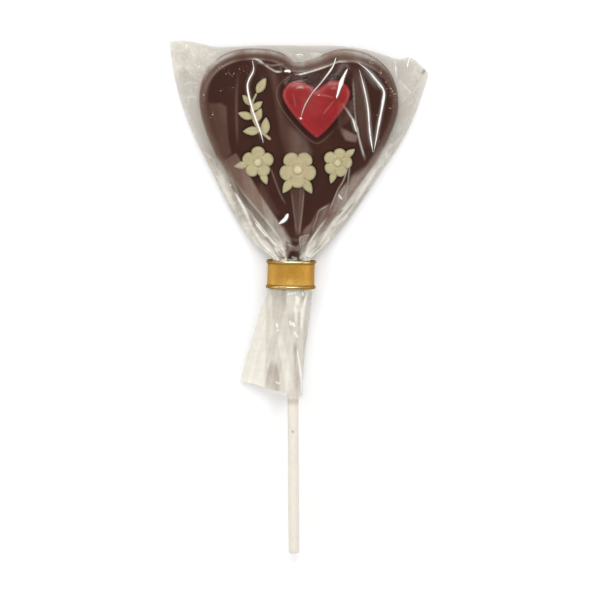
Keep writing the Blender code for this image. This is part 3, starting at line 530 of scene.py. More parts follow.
def curved_line(points, count):
    """An open smooth line through its points, read at equal steps.

    Between two points it is a cubic curve whose slope at each is half the way between its neighbours.
    """
    knots = np.array(points, float)
    ends = np.vstack((2 * knots[0] - knots[1], knots, 2 * knots[-1] - knots[-2]))
    t = np.linspace(0, 1, 12, endpoint=False)[:, None]
    pieces = []
    for a, b, c, d in zip(ends, ends[1:], ends[2:], ends[3:]):
        rise = (c - a) * t + (2 * a - 5 * b + 4 * c - d) * t**2 + (3 * b - a - 3 * c + d) * t**3
        pieces.append(b + rise / 2)
    return evenly(np.vstack((*pieces, knots[-1:])), count, closed=False)


def turned(points, angle, centre):
    """Plan points turned about the origin and moved to a centre."""
    turn = np.array([[math.cos(angle), math.sin(angle)], [-math.sin(angle), math.cos(angle)]])
    return points @ turn + centre


def inset(outline, distance):
    """The outline moved inwards by a distance, along the normal of its neighbours' chord."""
    chord = np.roll(outline, -1, axis=0) - np.roll(outline, 1, axis=0)
    chord /= np.linalg.norm(chord, axis=1)[:, None]
    return outline + distance * np.stack((-chord[:, 1], chord[:, 0]), axis=1)


def drawn_in(outline, middle, rows, end, bend):
    """Rows of an outline drawn in to its middle, up to a share of the way. The bend spaces the rows."""
    shares = 1 - np.linspace(0, end, rows) ** bend
    return middle + shares[:, None, None] * (outline - middle)


def at_height(plan, z):
    """Plan points with their heights."""
    return np.concatenate((plan, z[..., None]), axis=-1)


def boxed(x, y, points, reach):
    """Which plan points lie in the box round some points, widened by a reach."""
    low, high = points.min(axis=0) - reach, points.max(axis=0) + reach
    return (x > low[0]) & (x < high[0]) & (y > low[1]) & (y < high[1])


def stretches(x, y, line):
    """Both ends of each stretch of a line, with each plan point's nearest share of it and squared gap."""
    for start, end in zip(line, line[1:]):
        edge = end - start
        t = np.clip(((x - start[0]) * edge[0] + (y - start[1]) * edge[1]) / (edge @ edge), 0, 1)
        yield start, end, t, (x - start[0] - t * edge[0]) ** 2 + (y - start[1] - t * edge[1]) ** 2


def depth_in(x, y, outline):
    """Distance from each plan point to an outline's nearest edge, negative outside it.

    A point is inside where a line from it towards +X crosses the outline an odd number of times.
    """
    nearest = np.full(x.shape, np.inf)
    odd = np.zeros(x.shape, bool)
    for start, end, _, gap in stretches(x, y, np.vstack((outline, outline[:1]))):
        nearest = np.minimum(nearest, gap)
        if start[1] != end[1]:
            crossing = start[0] + (y - start[1]) * (end[0] - start[0]) / (end[1] - start[1])
            odd ^= ((start[1] > y) != (end[1] > y)) & (x < crossing)
    return np.where(odd, 1, -1) * np.sqrt(nearest)


def to_line(x, y, line):
    """Distance from each plan point to an open line, and the share of the line at its nearest point."""
    nearest = np.full(x.shape, np.inf)
    share = np.zeros(x.shape)
    for i, (_, _, t, gap) in enumerate(stretches(x, y, line)):
        share = np.where(gap < nearest, (i + t) / (len(line) - 1), share)
        nearest = np.minimum(nearest, gap)
    return np.sqrt(nearest), share


# Outlines of the chocolate and what is on it


def heart_half(half, dip_y, tip_y):
    """From the dip over the lobe and down the side to the tip, on the +X side: three cubic curves."""
    side, lobe, pulls = (np.array(row) * MM for row in half)
    dip_pull, in_pull, out_pull, up_pull, down_pull, tip_pull = pulls
    dip, tip = np.array([0.0, dip_y]), np.array([0.0, tip_y])
    along, up = np.array([1.0, 0.0]), np.array([0.0, 1.0])
    from_dip = bezier(dip, dip_pull * along, -in_pull * along, lobe)
    over_lobe = bezier(lobe, out_pull * along, up_pull * up, side)
    down_side = bezier(side, -down_pull * up, tip_pull * along, tip)
    return np.vstack((from_dip, over_lobe, down_side, tip[None]))


def heart_outline(left, right, dip_y, tip_y, count):
    """One closed outline in equal steps, anticlockwise from the tip: up the right side and down the left."""
    right_side = heart_half(right, dip_y, tip_y)[::-1]
    left_side = heart_half(left, dip_y, tip_y) * (-1, 1)
    return evenly(np.vstack((right_side[:-1], left_side[:-1])), count)


def chocolate_outline(count):
    """The heart's outline, whose halves differ."""
    return heart_outline(HEART_LEFT, HEART_RIGHT, HEART_DIP_Y, HEART_TIP_Y, count) + (HEART_AXIS_X, 0.0)


def inlay_outline(count):
    """The red heart's outline, turned a little about its tip."""
    outline = heart_outline(INLAY_HALF, INLAY_HALF, INLAY_DIP_RISE, 0.0, count)
    return turned(outline, INLAY_TURN, INLAY_TIP)


def blossom_outline(radius, turn, count):
    """A round outline whose edge is scalloped into petals with narrow clefts."""
    angle = full_turn(count)
    scallop = np.abs(np.cos(PETALS * (angle - turn) / 2)) ** PETAL_ROUNDNESS
    reach = radius * (1 - PETAL_CLEFT + PETAL_CLEFT * scallop)
    return np.stack((np.cos(angle), np.sin(angle)), axis=1) * reach[:, None]


def leaf_outline(length, count):
    """An almond from its foot at the origin to its point on +X: half-width is a sine of the length."""
    along = (1 - np.cos(np.linspace(0, math.pi, count // 2 + 1))) / 2
    half = 0.5 * LEAF_SLENDERNESS * length * np.sin(math.pi * along**0.85) ** 0.8
    lower = np.stack((along * length, -half), axis=1)
    upper = np.stack((along * length, half), axis=1)[-2:0:-1]
    return np.vstack((lower, upper))


def stem_line(t):
    """Points and directions of the sprig's stem, a quadratic curve through its bend."""
    start, bend, end = (np.array(point) * MM for point in SPRIG_STEM)
    t = np.asarray(t, float)[..., None]
    point = (1 - t) ** 2 * start + 2 * t * (1 - t) * bend + t**2 * end
    way = (1 - t) * (bend - start) + t * (end - bend)
    return point, np.arctan2(way[..., 1], way[..., 0])


def blossom_leaves(spec):
    """Length, turn and foot of each leaf of one blossom."""
    leaves = []
    for degrees in spec["leaves"]:
        angle = math.radians(degrees)
        way = np.array([math.cos(angle), math.sin(angle)])
        foot = np.array(spec["centre"]) * MM + BLOSSOM_LEAF_FOOT * spec["radius"] * MM * way
        leaves.append((BLOSSOM_LEAF_LENGTH * spec["radius"] * MM, angle, foot))
    return leaves


def sprig_leaves():
    """Length, turn and foot of each leaf along the stem, and of the leaf at its end."""
    places = [(1.0, 0.0, 1.0)]
    for pair in range(SPRIG_LEAF_PAIRS):
        for side in (-1, 1):
            place = (pair + 0.6) / (SPRIG_LEAF_PAIRS + 0.7) + 0.05 * side
            places.append((place, side * LEAF_SPREAD, 1.0 - 0.10 * pair))
    leaves = []
    for place, spread_out, size in places:
        foot, turn = stem_line(place)
        leaves.append((size * SPRIG_LEAF_LENGTH, float(turn) + spread_out, foot))
    return leaves


def relief_outlines(count):
    """Outline of each raised cream form, with few points, for what lies round it or over it."""
    outlines = []
    for spec in BLOSSOMS:
        centre = np.array(spec["centre"]) * MM
        outlines.append(blossom_outline(spec["radius"] * MM, math.radians(spec["turn"]), count) + centre)
    for length, turn, foot in [leaf for spec in BLOSSOMS for leaf in blossom_leaves(spec)] + sprig_leaves():
        outlines.append(turned(leaf_outline(length, count // 4), turn, foot))
    return outlines


def stick_axis_x(y):
    """Where the leaning stick's axis lies across, at a place along it."""
    return STICK_END[0] - math.tan(STICK_TURN) * (y - STICK_END[1])


def chocolate_height(x, y, radius):
    """Height of the bare heart over plan points: its rounded shoulder inside the outline, and 0 outside."""
    depth = depth_in(x, y, chocolate_outline(160))
    return np.where(depth > 0, RIM_Z - radius * (1 - rounding(depth, radius)), 0.0)


# Meshes


def closed_surface(loops):
    """Points, quads and triangles of loops joined one to the next, each end drawn in to its middle."""
    rows, columns = loops.shape[:2]
    points = np.vstack((loops.reshape(-1, 3), loops[0].mean(axis=0), loops[-1].mean(axis=0)))
    around = np.arange(columns)
    after = (around + 1) % columns
    first = np.arange(rows - 1)[:, None] * columns
    second = first + columns
    quads = np.stack((first + around, first + after, second + after, second + around), axis=-1)
    top = (rows - 1) * columns
    first_pole = np.stack((after, around, np.full(columns, rows * columns)), axis=1)
    last_pole = np.stack((top + around, top + after, np.full(columns, rows * columns + 1)), axis=1)
    return points, quads.reshape(-1, 4), np.vstack((first_pole, last_pole))


def sheet_surface(x, y, z, up=True):
    """Points and quads of an open grid whose columns run along +X and rows along +Y, facing up or down."""
    rows, columns = x.shape
    start = np.arange(rows - 1)[:, None] * columns + np.arange(columns - 1)
    quads = np.stack((start, start + 1, start + columns + 1, start + columns), axis=-1).reshape(-1, 4)
    points = np.stack((x, y, z), axis=2).reshape(-1, 3)
    return points, quads if up else quads[:, ::-1], np.empty((0, 3), int)


def joined(surfaces):
    """Several surfaces as one."""
    starts = np.cumsum([0] + [len(points) for points, _, _ in surfaces])
    points = np.vstack([points for points, _, _ in surfaces])
    quads = np.vstack([start + quads for start, (_, quads, _) in zip(starts, surfaces)])
    return points, quads, np.vstack([start + corners for start, (_, _, corners) in zip(starts, surfaces)])


def carried(line, across, section, scale):
    """A closed section carried along a line: its points are laid off across and up, times a scale."""
    up = np.array((0.0, 0.0, 1.0))
    offset = section[None, :, 0:1] * across[:, None] + section[None, :, 1:2] * up
    return line[:, None] + offset * scale[:, None, None]


def add_piece(name, made, material, slot, *replaced):
    """Puts a surface with its points' values into the scene, as one smooth piece that rides on the body."""
    (points, quads, triangles), values = made
    corners = np.concatenate((quads.ravel(), triangles.ravel()))
    sizes = np.concatenate((np.full(len(quads), 4), np.full(len(triangles), 3)))
    mesh = bpy.data.meshes.new(name)
    mesh.vertices.add(len(points))
    mesh.vertices.foreach_set("co", np.ravel(points).astype(np.float32))
    mesh.loops.add(len(corners))
    mesh.loops.foreach_set("vertex_index", corners.astype(np.int32))
    mesh.polygons.add(len(sizes))
    mesh.polygons.foreach_set("loop_start", (np.cumsum(sizes) - sizes).astype(np.int32))
    mesh.update(calc_edges=True)
    mesh.shade_smooth()
    for key, numbers in values.items():
        attribute = mesh.attributes.new(key, "FLOAT", "POINT")
        attribute.data.foreach_set("value", np.ravel(numbers).astype(np.float32))
    mesh.materials.append(material)
    if mesh.validate():
        raise RuntimeError(f"the surface of {name} has faulty faces")
    piece = bpy.data.objects.new(name, mesh)
    bpy.context.scene.collection.objects.link(piece)
    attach(piece, BODY)
    if replaced:
        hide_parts(*replaced)


# Materials


class Value:
    """A shader socket that Python's operators turn into Math nodes."""

    def __init__(self, finish, socket):
        self.finish = finish
        self.socket = socket

    def math(self, operation, *others, clamp=False):
        """A Math node on this value and the others."""
        settings = {"operation": operation, "use_clamp": clamp}
        return self.finish.add("ShaderNodeMath", settings, dict(enumerate((self, *others))))

    def __add__(self, other):
        return self.math("ADD", other)

    def __sub__(self, other):
        return self.math("SUBTRACT", other)

    def __rsub__(self, other):
        number = self.finish.add("ShaderNodeMath", {"operation": "ADD"}, {0: other, 1: 0.0})
        return number.math("SUBTRACT", self)

    def __mul__(self, other):
        return self.math("MULTIPLY", other)

    __radd__ = __add__
    __rmul__ = __mul__

    def clamped(self):
        """Kept from 0 to 1."""
        return self.math("ADD", 0.0, clamp=True)

    def between(self, low, high):
        """0 at low and 1 at high, level at both ends."""
        settings = {"interpolation_type": "SMOOTHSTEP"}
        return self.finish.add("ShaderNodeMapRange", settings, {0: self, 1: low, 2: high})


class Finish:
    """A material and its nodes, with a Principled shader unless another is put on its output."""

    def __init__(self, name):
        self.material = bpy.data.materials.new(name)
        self.material.use_nodes = True
        self.tree = self.material.node_tree
        self.shader = self.tree.nodes["Principled BSDF"]

    def add(self, kind, settings=None, sockets=None, output=0):
        """Any node: its settings are set first, then the values or links of its sockets."""
        node = self.tree.nodes.new(kind)
        for key, setting in (settings or {}).items():
            if key == "stops":
                ramp = node.color_ramp.elements
                for element, (place, _) in zip((ramp[0], ramp[-1]), (setting[0], setting[-1])):
                    element.position = place
                for place, _ in setting[1:-1]:
                    ramp.new(place)
                for element, (_, colour) in zip(ramp, setting):
                    element.color = (*colour, 1.0)
            else:
                setattr(node, key, setting)
        self.fill(node, sockets)
        return Value(self, node.outputs[output])

    def fill(self, node, sockets):
        """Links or sets the sockets of a node."""
        for key, value in (sockets or {}).items():
            if isinstance(value, Value):
                self.tree.links.new(value.socket, node.inputs[key])
            else:
                node.inputs[key].default_value = value

    def attribute(self, name):
        """One of the piece's own values."""
        return self.add("ShaderNodeAttribute", {"attribute_name": name}, output=2)

    def place(self, scale=(1, 1, 1)):
        """Object coordinates in metres, scaled."""
        at = self.add("ShaderNodeTexCoord", output=3)
        return self.add("ShaderNodeMapping", None, {"Vector": at, "Scale": scale})

    def noise(self, at, size, detail=3.0, roughness=0.5, distortion=0.0):
        """Noise from 0 to 1 whose blotches are about size metres across."""
        sockets = {"Vector": at, "Scale": 1.0 / size, "Detail": detail, "Roughness": roughness}
        return self.add("ShaderNodeTexNoise", None, sockets | {"Distortion": distortion})

    def blend(self, factor, first, second):
        """A mix of two colours by a factor."""
        settings = {"data_type": "RGBA", "blend_type": "MIX"}
        colours = [c if isinstance(c, Value) else (*c, 1.0) for c in (first, second)]
        return self.add("ShaderNodeMix", settings, {0: factor, 6: colours[0], 7: colours[1]}, output=2)

    def shades(self, factor, colour, low, high):
        """A colour that goes from one share of its brightness to another by a factor."""
        return self.blend(factor, shade(colour, low), shade(colour, high))

    def bump(self, height, depth, strength=1.0):
        """Normals from a height of 0 to 1 that stands for this depth in metres."""
        return self.add("ShaderNodeBump", None, {"Height": height, "Distance": depth, "Strength": strength})

    def surface(self, **sockets):
        """Values and links for the Principled shader's sockets, spelled with _ for a space."""
        self.fill(self.shader, {key.replace("_", " "): value for key, value in sockets.items()})
        return self.material

    def see_through(self, factor, tint):
        """Mixes a tinted clear shader in front of the Principled one, by how much is solid."""
        clear = self.add("ShaderNodeBsdfTransparent", None, {"Color": (*tint, 1.0)})
        solid = Value(self, self.shader.outputs[0])
        mixed = self.add("ShaderNodeMixShader", None, {0: factor, 1: clear, 2: solid})
        self.fill(self.tree.nodes["Material Output"], {"Surface": mixed})


def shade(colour, share):
    """A colour made darker or lighter by a share."""
    return tuple(min(1.0, c * share) for c in colour)


def chocolate_finish(colour):
    """Dark moulded chocolate: faint bloom in blotches, fine dull grain, painted shade in its grooves and a
    painted tan sheen on its edges.
    """
    finish = Finish("dark_chocolate_moulded")
    at = finish.place()
    blotches = finish.noise(at, 7 * MM, 3.0, 0.55)
    grain = finish.noise(at, 0.5 * MM, 4.0, 0.6)
    bloom = (blotches.between(0.45, 0.75) * 0.5 + grain.between(0.5, 0.85) * 0.22).clamped()
    base = finish.shades(bloom, colour, 0.88, 1.35)
    # painted shade darkens the grooves, and a painted tan sheen pales the edges
    base = finish.blend(finish.attribute("groove"), base, shade(colour, 0.30))
    height = grain * 0.5 + finish.noise(at, 2.2 * MM) * 0.8
    return finish.surface(
        Base_Color=finish.blend(finish.attribute("edge"), base, EDGE_SHEEN_TAN),
        Roughness=0.46 + blotches * 0.14 - grain * 0.05,
        Specular_IOR_Level=0.14,
        Normal=finish.bump(height, 0.05 * MM, 0.6),
    )


def red_finish(colour):
    """Semi-gloss red moulded chocolate: paler in fine grains, and darker towards its foot and edge by painted
    shade.
    """
    finish = Finish("red_chocolate_moulded")
    at = finish.place()
    blotches = finish.noise(at, 5 * MM)
    grain = finish.noise(at, 0.4 * MM, 3.0, 0.6)
    base = finish.shades(blotches.between(0.35, 0.7), colour, 0.90, 1.10)
    # painted shade towards the foot
    base = finish.blend(finish.attribute("foot"), base, shade(colour, 0.42))
    return finish.surface(
        Base_Color=finish.blend(grain.between(0.55, 0.8) * 0.12, base, WORN_RED),
        Roughness=0.22 + grain * 0.10 + blotches * 0.06,
        Specular_IOR_Level=0.45,
        Subsurface_Weight=0.05,
        Subsurface_Scale=0.6 * MM,
        Normal=finish.bump(grain * 0.4 + blotches, 0.04 * MM, 0.6),
    )


def cream_finish(colour):
    """Cream moulded chocolate: waxy, in faint blotches, and browner at its foot by painted shade."""
    finish = Finish("cream_chocolate_moulded")
    at = finish.place()
    blotches = finish.noise(at, 3 * MM)
    grain = finish.noise(at, 0.35 * MM, 3.0, 0.6)
    base = finish.shades(blotches.between(0.35, 0.7), colour, 0.93, 1.07)
    return finish.surface(
        # painted shade at the foot
        Base_Color=finish.blend(finish.attribute("foot"), base, RELIEF_FOOT_SHADE),
        Roughness=0.27 + grain * 0.12,
        Subsurface_Weight=0.08,
        Subsurface_Scale=0.7 * MM,
        Normal=finish.bump(grain * 0.3 + blotches, 0.04 * MM, 0.6),
    )


def paper_finish(colour):
    """Rolled white paper: fibres along the stick, faint bands round it, one brown speck and a painted shadow.
    """
    finish = Finish("rolled_paper")
    fibres = finish.noise(finish.place((1.0, 0.12, 1.0)), 0.25 * MM, 3.0, 0.6)
    bands = finish.noise(finish.place((0.2, 1.0, 0.2)), 9 * MM, 2.0)
    base = finish.shades(fibres.between(0.3, 0.75), colour, 0.93, 1.04)
    base = finish.blend(bands.between(0.4, 0.75) * 0.35, base, shade(colour, 0.90))
    return finish.surface(
        Base_Color=finish.blend(finish.attribute("speck"), base, PAPER_SPECK_AND_SHADOW),
        Roughness=0.62 + fibres * 0.2,
        Normal=finish.bump(fibres, 0.05 * MM, 0.7),
    )


def gold_finish(colour):
    """Satin gold plate with a fine mottle and slightly duller patches, polished along its lips, with painted
    shade, sheen and glint.
    """
    finish = Finish("satin_gold")
    at = finish.place()
    lip, seat, polish = (finish.attribute(name) for name in ("lip", "seat", "polish"))
    mottle = finish.noise(at, 0.55 * MM, 4.0, 0.7)
    patches = finish.noise(at, 3.5 * MM, 2.0)
    sheen = finish.attribute("sheen") * (mottle.between(0.42, 0.6) * 0.7 + 0.3)
    base = finish.shades(mottle.between(0.35, 0.7), colour, 0.84, 1.12)
    # painted shade on the flanks, lips and seats, a painted sheen on the body and a painted glint along the
    # lips
    for factor, over in (
        (patches.between(0.4, 0.7) * 0.4, shade(colour, 0.78)),
        (finish.attribute("flank") * 0.8, shade(colour, 0.62)),
        (sheen, GOLD_SHEEN),
        (lip * 0.9, GOLD_LIP_SHADE),
        (polish, GOLD_GLINT),
        (seat * 0.7, shade(colour, 0.34)),
    ):
        base = finish.blend(factor, base, over)
    return finish.surface(
        Base_Color=base,
        Metallic=(0.55 + lip * 0.45 - seat * 0.5).clamped(),
        Roughness=0.44 + mottle * 0.14 - lip * 0.12 - polish * 0.22 + seat * 0.2,
        Normal=finish.bump(mottle, 0.03 * MM, 0.6),
    )


def film_finish(tint, shaded, milk):
    """Clear film: a faint gloss where it lies taut, and paler and less clear where it folds and gathers and
    where painted reflections lie on it.
    """
    finish = Finish("clear_film_sheet")
    solid, gather = finish.attribute("solid"), finish.attribute("gather")
    at = finish.place()
    wrinkles = (finish.noise(at, 3.4 * MM, 4.0, 0.6, 0.8) - 0.5) * finish.attribute("crinkle")
    fine = finish.noise(at, 0.7 * MM, 3.0, 0.6)
    ways = {0: finish.attribute("across") * 11.0, 1: finish.attribute("along") * 1.6}
    lines = finish.noise(finish.add("ShaderNodeCombineXYZ", None, ways), 1.0, 2.0, 0.5, 0.6)
    streak = (lines - 0.5) * gather
    tone = finish.attribute("tone") + streak * 1.2 + wrinkles * 0.75
    stops = ((0.0, shaded), *THIN_FILM, (1.0, milk)), (*THICK_FILM, (1.0, milk))
    ramps = (finish.add("ShaderNodeValToRGB", {"stops": each}, {0: tone}) for each in stops)
    pale = finish.blend(solid.between(0.28, 0.54), *ramps)
    folded = solid.between(0.0, 0.03)
    facing = finish.add("ShaderNodeLayerWeight", None, {"Blend": 0.20}, output=1)
    factor = 0.006 + facing * 0.09 + solid * (1 + streak * 1.4 + wrinkles * 1.5)
    finish.see_through(factor.clamped().math("MINIMUM", 0.96), tint)
    return finish.surface(
        Base_Color=finish.blend(folded, FILM_GLOSS, pale),
        Metallic=1 - folded,
        Roughness=0.11 + solid * 0.35 + fine * 0.06,
        Normal=finish.bump(wrinkles * 1.6 + fine * solid * 0.2, 0.15 * MM, 0.5),
    )


def crease_finish(colour):
    """A pressed crease: a whitened ridge, mostly a painted highlight for the glint along it, that also
    catches the light.
    """
    finish = Finish("creased_film")
    fine = finish.noise(finish.place(), 0.5 * MM, 3.0, 0.6)
    finish.see_through((finish.attribute("glint") * (0.86 + fine * 0.24)).clamped(), CREASE_TINT)
    base = finish.blend(fine.between(0.3, 0.8), shade(colour, 0.94), colour)
    return finish.surface(Base_Color=base, Roughness=0.22 + fine * 0.1, Coat_Weight=0.6)


def crumb_finish(name, colour):
    """Dull broken chocolate with paler and darker grains."""
    finish = Finish(name)
    grain = finish.noise(finish.place(), 0.25 * MM, 3.0, 0.6)
    return finish.surface(
        Base_Color=finish.shades(grain.between(0.3, 0.7), colour, 0.7, 1.2),
        Roughness=0.55 + grain * 0.2,
        Normal=finish.bump(grain, 0.05 * MM, 0.8),
    )


def floor_finish(colour):
    """Plain pale studio floor with a barely uneven sheen."""
    finish = Finish("pale_floor")
    soft = finish.noise(finish.place(), 0.4, 2.0)
    base = finish.blend(soft * 0.2, colour, shade(colour, 0.99))
    return finish.surface(Base_Color=base, Roughness=0.9, Specular_IOR_Level=0.1)


# Sizes and colours that can be changed


def a_length(name, description, default, low, high):
    """A length that can be changed."""
    return FloatProperty(
        name=name, description=description, default=default, min=low, max=high, unit="LENGTH"
    )


def a_colour(name, description, default):
    """A colour that can be changed."""
    return FloatVectorProperty(
        name=name, description=description, default=default, size=3, subtype="COLOR", min=0.0, max=1.0
    )


class ChocolateSettings(PropertyGroup):
    """Sizes and colours of the heart and what is on it"""

    shoulder: a_length(
        "Shoulder", "Radius of the rounding from the heart's side to its face", 3.4 * MM, 0.5 * MM, 6.0 * MM
    )
    rim_step: a_length("Rim step", "How far the face lies below the rim line", 0.25 * MM, 0.0, 1.0 * MM)
    recess: a_length("Recess", "Depth of the hollow round the red heart", 0.35 * MM, 0.0, 1.0 * MM)
    recess_reach: a_length(
        "Recess reach", "How far that hollow reaches beyond the red heart", 1.7 * MM, 0.3 * MM, 4.0 * MM
    )
    relief: a_length(
        "Relief", "Height of the cream blossoms and leaves over the face", 1.6 * MM, 0.4 * MM, 3.0 * MM
    )
    around: IntProperty(
        name="Points around", description="Points round the heart's outline", default=720, min=120, max=900
    )
    dark: a_colour("Dark chocolate", "Colour of the heart", (0.052, 0.0136, 0.0075))
    red: a_colour("Red chocolate", "Colour of the inlaid heart", (0.350, 0.016, 0.0205))
    cream: a_colour("Cream chocolate", "Colour of the blossoms and leaves", (0.56, 0.505, 0.302))


class HolderSettings(PropertyGroup):
    """Sizes and colours of the stick and the ring"""

    stick_radius: a_length(
        "Stick radius", "Radius of the paper stick", (STICK_HIGH.z - STICK_LOW.z) / 2, 1.0 * MM, 4.0 * MM
    )
    ring_wall: a_length("Ring wall", "Thickness of the ring's wall", 0.35 * MM, 0.1 * MM, 1.0 * MM)
    ring_lip: a_length("Ring lip", "Radius of the rolled lips of the ring", 0.60 * MM, 0.1 * MM, 1.0 * MM)
    paper: a_colour("Paper", "Colour of the stick", (0.765, 0.715, 0.63))
    gold: a_colour("Gold", "Colour of the ring", (0.56, 0.29, 0.038))


class FilmSettings(PropertyGroup):
    """Sizes and colours of the film bag"""

    clearance: a_length(
        "Clearance", "Gap between the film and what it is drawn over", 0.12 * MM, 0.02 * MM, 0.5 * MM
    )
    crease_rise: a_length("Crease rise", "How far a crease lifts the film", 0.35 * MM, 0.0, 1.0 * MM)
    pleat_depth: a_length("Pleat depth", "Height of the pleats in gathered film", 0.55 * MM, 0.0, 1.5 * MM)
    tint: a_colour("Tint", "What share of light one sheet lets through", (0.880, 0.869, 0.848))
    shaded: a_colour("Shaded", "Colour of the darkest folds in the film", (0.42, 0.28, 0.21))
    milk: a_colour("Milk", "Colour of film in many layers", (0.95, 0.92, 0.85))


class StageSettings(PropertyGroup):
    """The camera, the surroundings and the floor"""

    view_width: a_length("View width", "Width that the picture shows at the lollipop", 223.7 * MM, 0.1, 1.0)
    distance: a_length("Distance", "Distance from the camera to the lollipop", 1.50, 0.2, 3.0)
    lean: FloatProperty(
        name="Lean",
        description="How far the camera leans from straight above towards the lobes",
        default=math.radians(6.0),
        min=0.0,
        max=math.radians(45.0),
        subtype="ANGLE",
    )
    world_light: FloatProperty(
        name="World light", description="Brightness of the surroundings", default=0.14, min=0.0, max=2.0
    )
    floor: a_colour("Floor", "Colour of the floor", (0.96, 0.96, 0.96))


# Chocolate


def face_forms(x, y, settings):
    """Height of the heart's face over plan points, its painted shade in grooves, and the painted highlight on
    its lip.

    The face is level, with slow waves. Round the red heart, but not at its head, it steps down within a
    fine lip. It dips in narrow grooves along the cream forms, and in a pit above each lobe of the red heart.
    These grooves, the pits and the hollow round the red heart are darkened by painted shade, and the lip is
    paler on its lower left side by a painted highlight.
    """
    beyond = -depth_in(x, y, inlay_outline(160))
    low = smooth_step(settings.recess_reach, settings.recess_reach - RECESS_FADE, beyond)
    low = low * smooth_step(*(INLAY_TIP[1] + up for up in RECESS_TOP), y)
    lip = bell(beyond - settings.recess_reach - 0.15 * MM, LIP_WIDTH)
    z = RIM_Z - settings.rim_step - settings.recess * low + LIP_HEIGHT * lip
    z += FACE_WAVE * waves(x, y, 26 * MM, 3, 2)
    # painted shade: darker near the red heart, in the hollow round it, in the pits and along the cream forms
    groove = np.maximum(0.60 * smooth_step(0.8 * MM, 0.1 * MM, beyond), 0.14 * low)
    for pit in np.array(PITS) * MM:
        dip = bell(x - pit[0], PIT_HALF[0]) * bell(y - pit[1], PIT_HALF[1])
        z -= PIT_DEPTH * dip
        groove = np.maximum(groove, np.minimum(1.5 * dip, 1))
    for outline in relief_outlines(60):
        close = boxed(x, y, outline, 1.5 * MM)
        dip = bell(depth_in(x[close], y[close], outline), GROOVE_WIDTH)
        z[close] -= GROOVE_DEPTH * dip
        groove[close] = np.maximum(groove[close], dip)
    middle = np.array(INLAY_TIP) + (0, 0.6 * INLAY_DIP_RISE)
    # painted highlight: the lip is paler on its lower left side, towards the light
    lit = smooth_step(-2 * MM, 6 * MM, 0.75 * (middle[0] - x) + 0.65 * (middle[1] - y))
    return z, groove, lip * lit


def chocolate_surface(settings):
    """The heart as loops from the middle of its back, out and up its side, and in over its face.

    The shoulder is a quarter circle. Past the rim line each loop is the last one drawn in to the middle.
    The painted shade in its grooves, and the painted tan sheen on its side, shoulder and lip, come with it.
    """
    outline, radius = chocolate_outline(settings.around), settings.shoulder
    middle, flat = outline.mean(axis=0), inset(outline, BACK_CHAMFER)
    # the third value of each loop is how much painted tan sheen it has
    loops = [(middle + share * (flat - middle), BACK_Z, 0.0) for share in np.linspace(0.05, 1.0, 9)]
    for z in np.linspace(BACK_Z + BACK_CHAMFER, RIM_Z - radius, 8):
        loops.append((inset(outline, SIDE_DRAFT * (z - BACK_Z) / (RIM_Z - BACK_Z)), z, SIDE_SHEEN))
    for angle in np.linspace(0, math.pi / 2, 16)[1:]:
        run = SIDE_DRAFT + (radius - SIDE_DRAFT) * (1 - math.cos(angle))
        drop = 1 - math.sin(angle)
        loops.append((inset(outline, run), RIM_Z - radius * drop, drop**0.5))
    plan = np.array([loop for loop, _, _ in loops])
    height, edge = (np.array([[row[k]] * len(outline) for row in loops]) for k in (1, 2))
    start = inset(outline, radius + RIM_RUN * 0.5)
    inner = drawn_in(start, middle, 92, 0.985, 0.97)
    z, groove, lip = face_forms(inner[..., 0], inner[..., 1], settings)
    into = np.linalg.norm(start - inner, axis=2)
    z += settings.rim_step * (1 - smooth_step(-0.2 * MM, RIM_RUN, into))
    surface = closed_surface(at_height(np.concatenate((plan, inner)), np.concatenate((height, z))))
    # painted shade in the grooves, and painted tan sheen on the side, shoulder and lip
    groove = np.concatenate((0 * edge, groove))
    edge = np.concatenate((0.8 * edge, 0.60 * lip))
    return surface, {"groove": np.append(groove, (0.0, 0.0)), "edge": np.append(edge, (0.0, 0.0))}


def round_bar(y, radius, shift=0.0):
    """Loops round the stick's axis, or beside it, at places along it. The radius may vary along and round."""
    angle = full_turn(radius.shape[1])
    x = stick_axis_x(y) + shift - radius * np.cos(angle)
    return np.stack((x, y + 0 * angle, STICK_Z + radius * np.sin(angle)), axis=2)


def neck_surface():
    """A slightly lumpy cone round the stick: loops along its line, whose radius swells towards the heart."""
    share = np.linspace(0, 1, 60)[:, None]
    y = NECK_END[0] + share * (NECK_ROOT[0] - NECK_END[0])
    radius = NECK_END[1] + (NECK_ROOT[1] - NECK_END[1]) * share**1.4
    radius = radius * (0.55 + 0.45 * rounding(share, 0.08))
    radius = radius * (1 + 0.035 * waves(4 * full_turn(96)[None] * MM, y, 5 * MM, 8, 2))
    surface = closed_surface(round_bar(y, radius, NECK_SHIFT))
    none = np.zeros(len(surface[0]))
    return surface, {"groove": none, "edge": none}


def on_foot(outline, plan, z, low, high):
    """A closed surface of loops: the outline at a low and a high place, then the plan's rows at heights z."""
    foot_z = np.array([[low], [high]]) + np.zeros(len(outline))
    return closed_surface(at_height(np.concatenate(([outline, outline], plan)), np.concatenate((foot_z, z))))


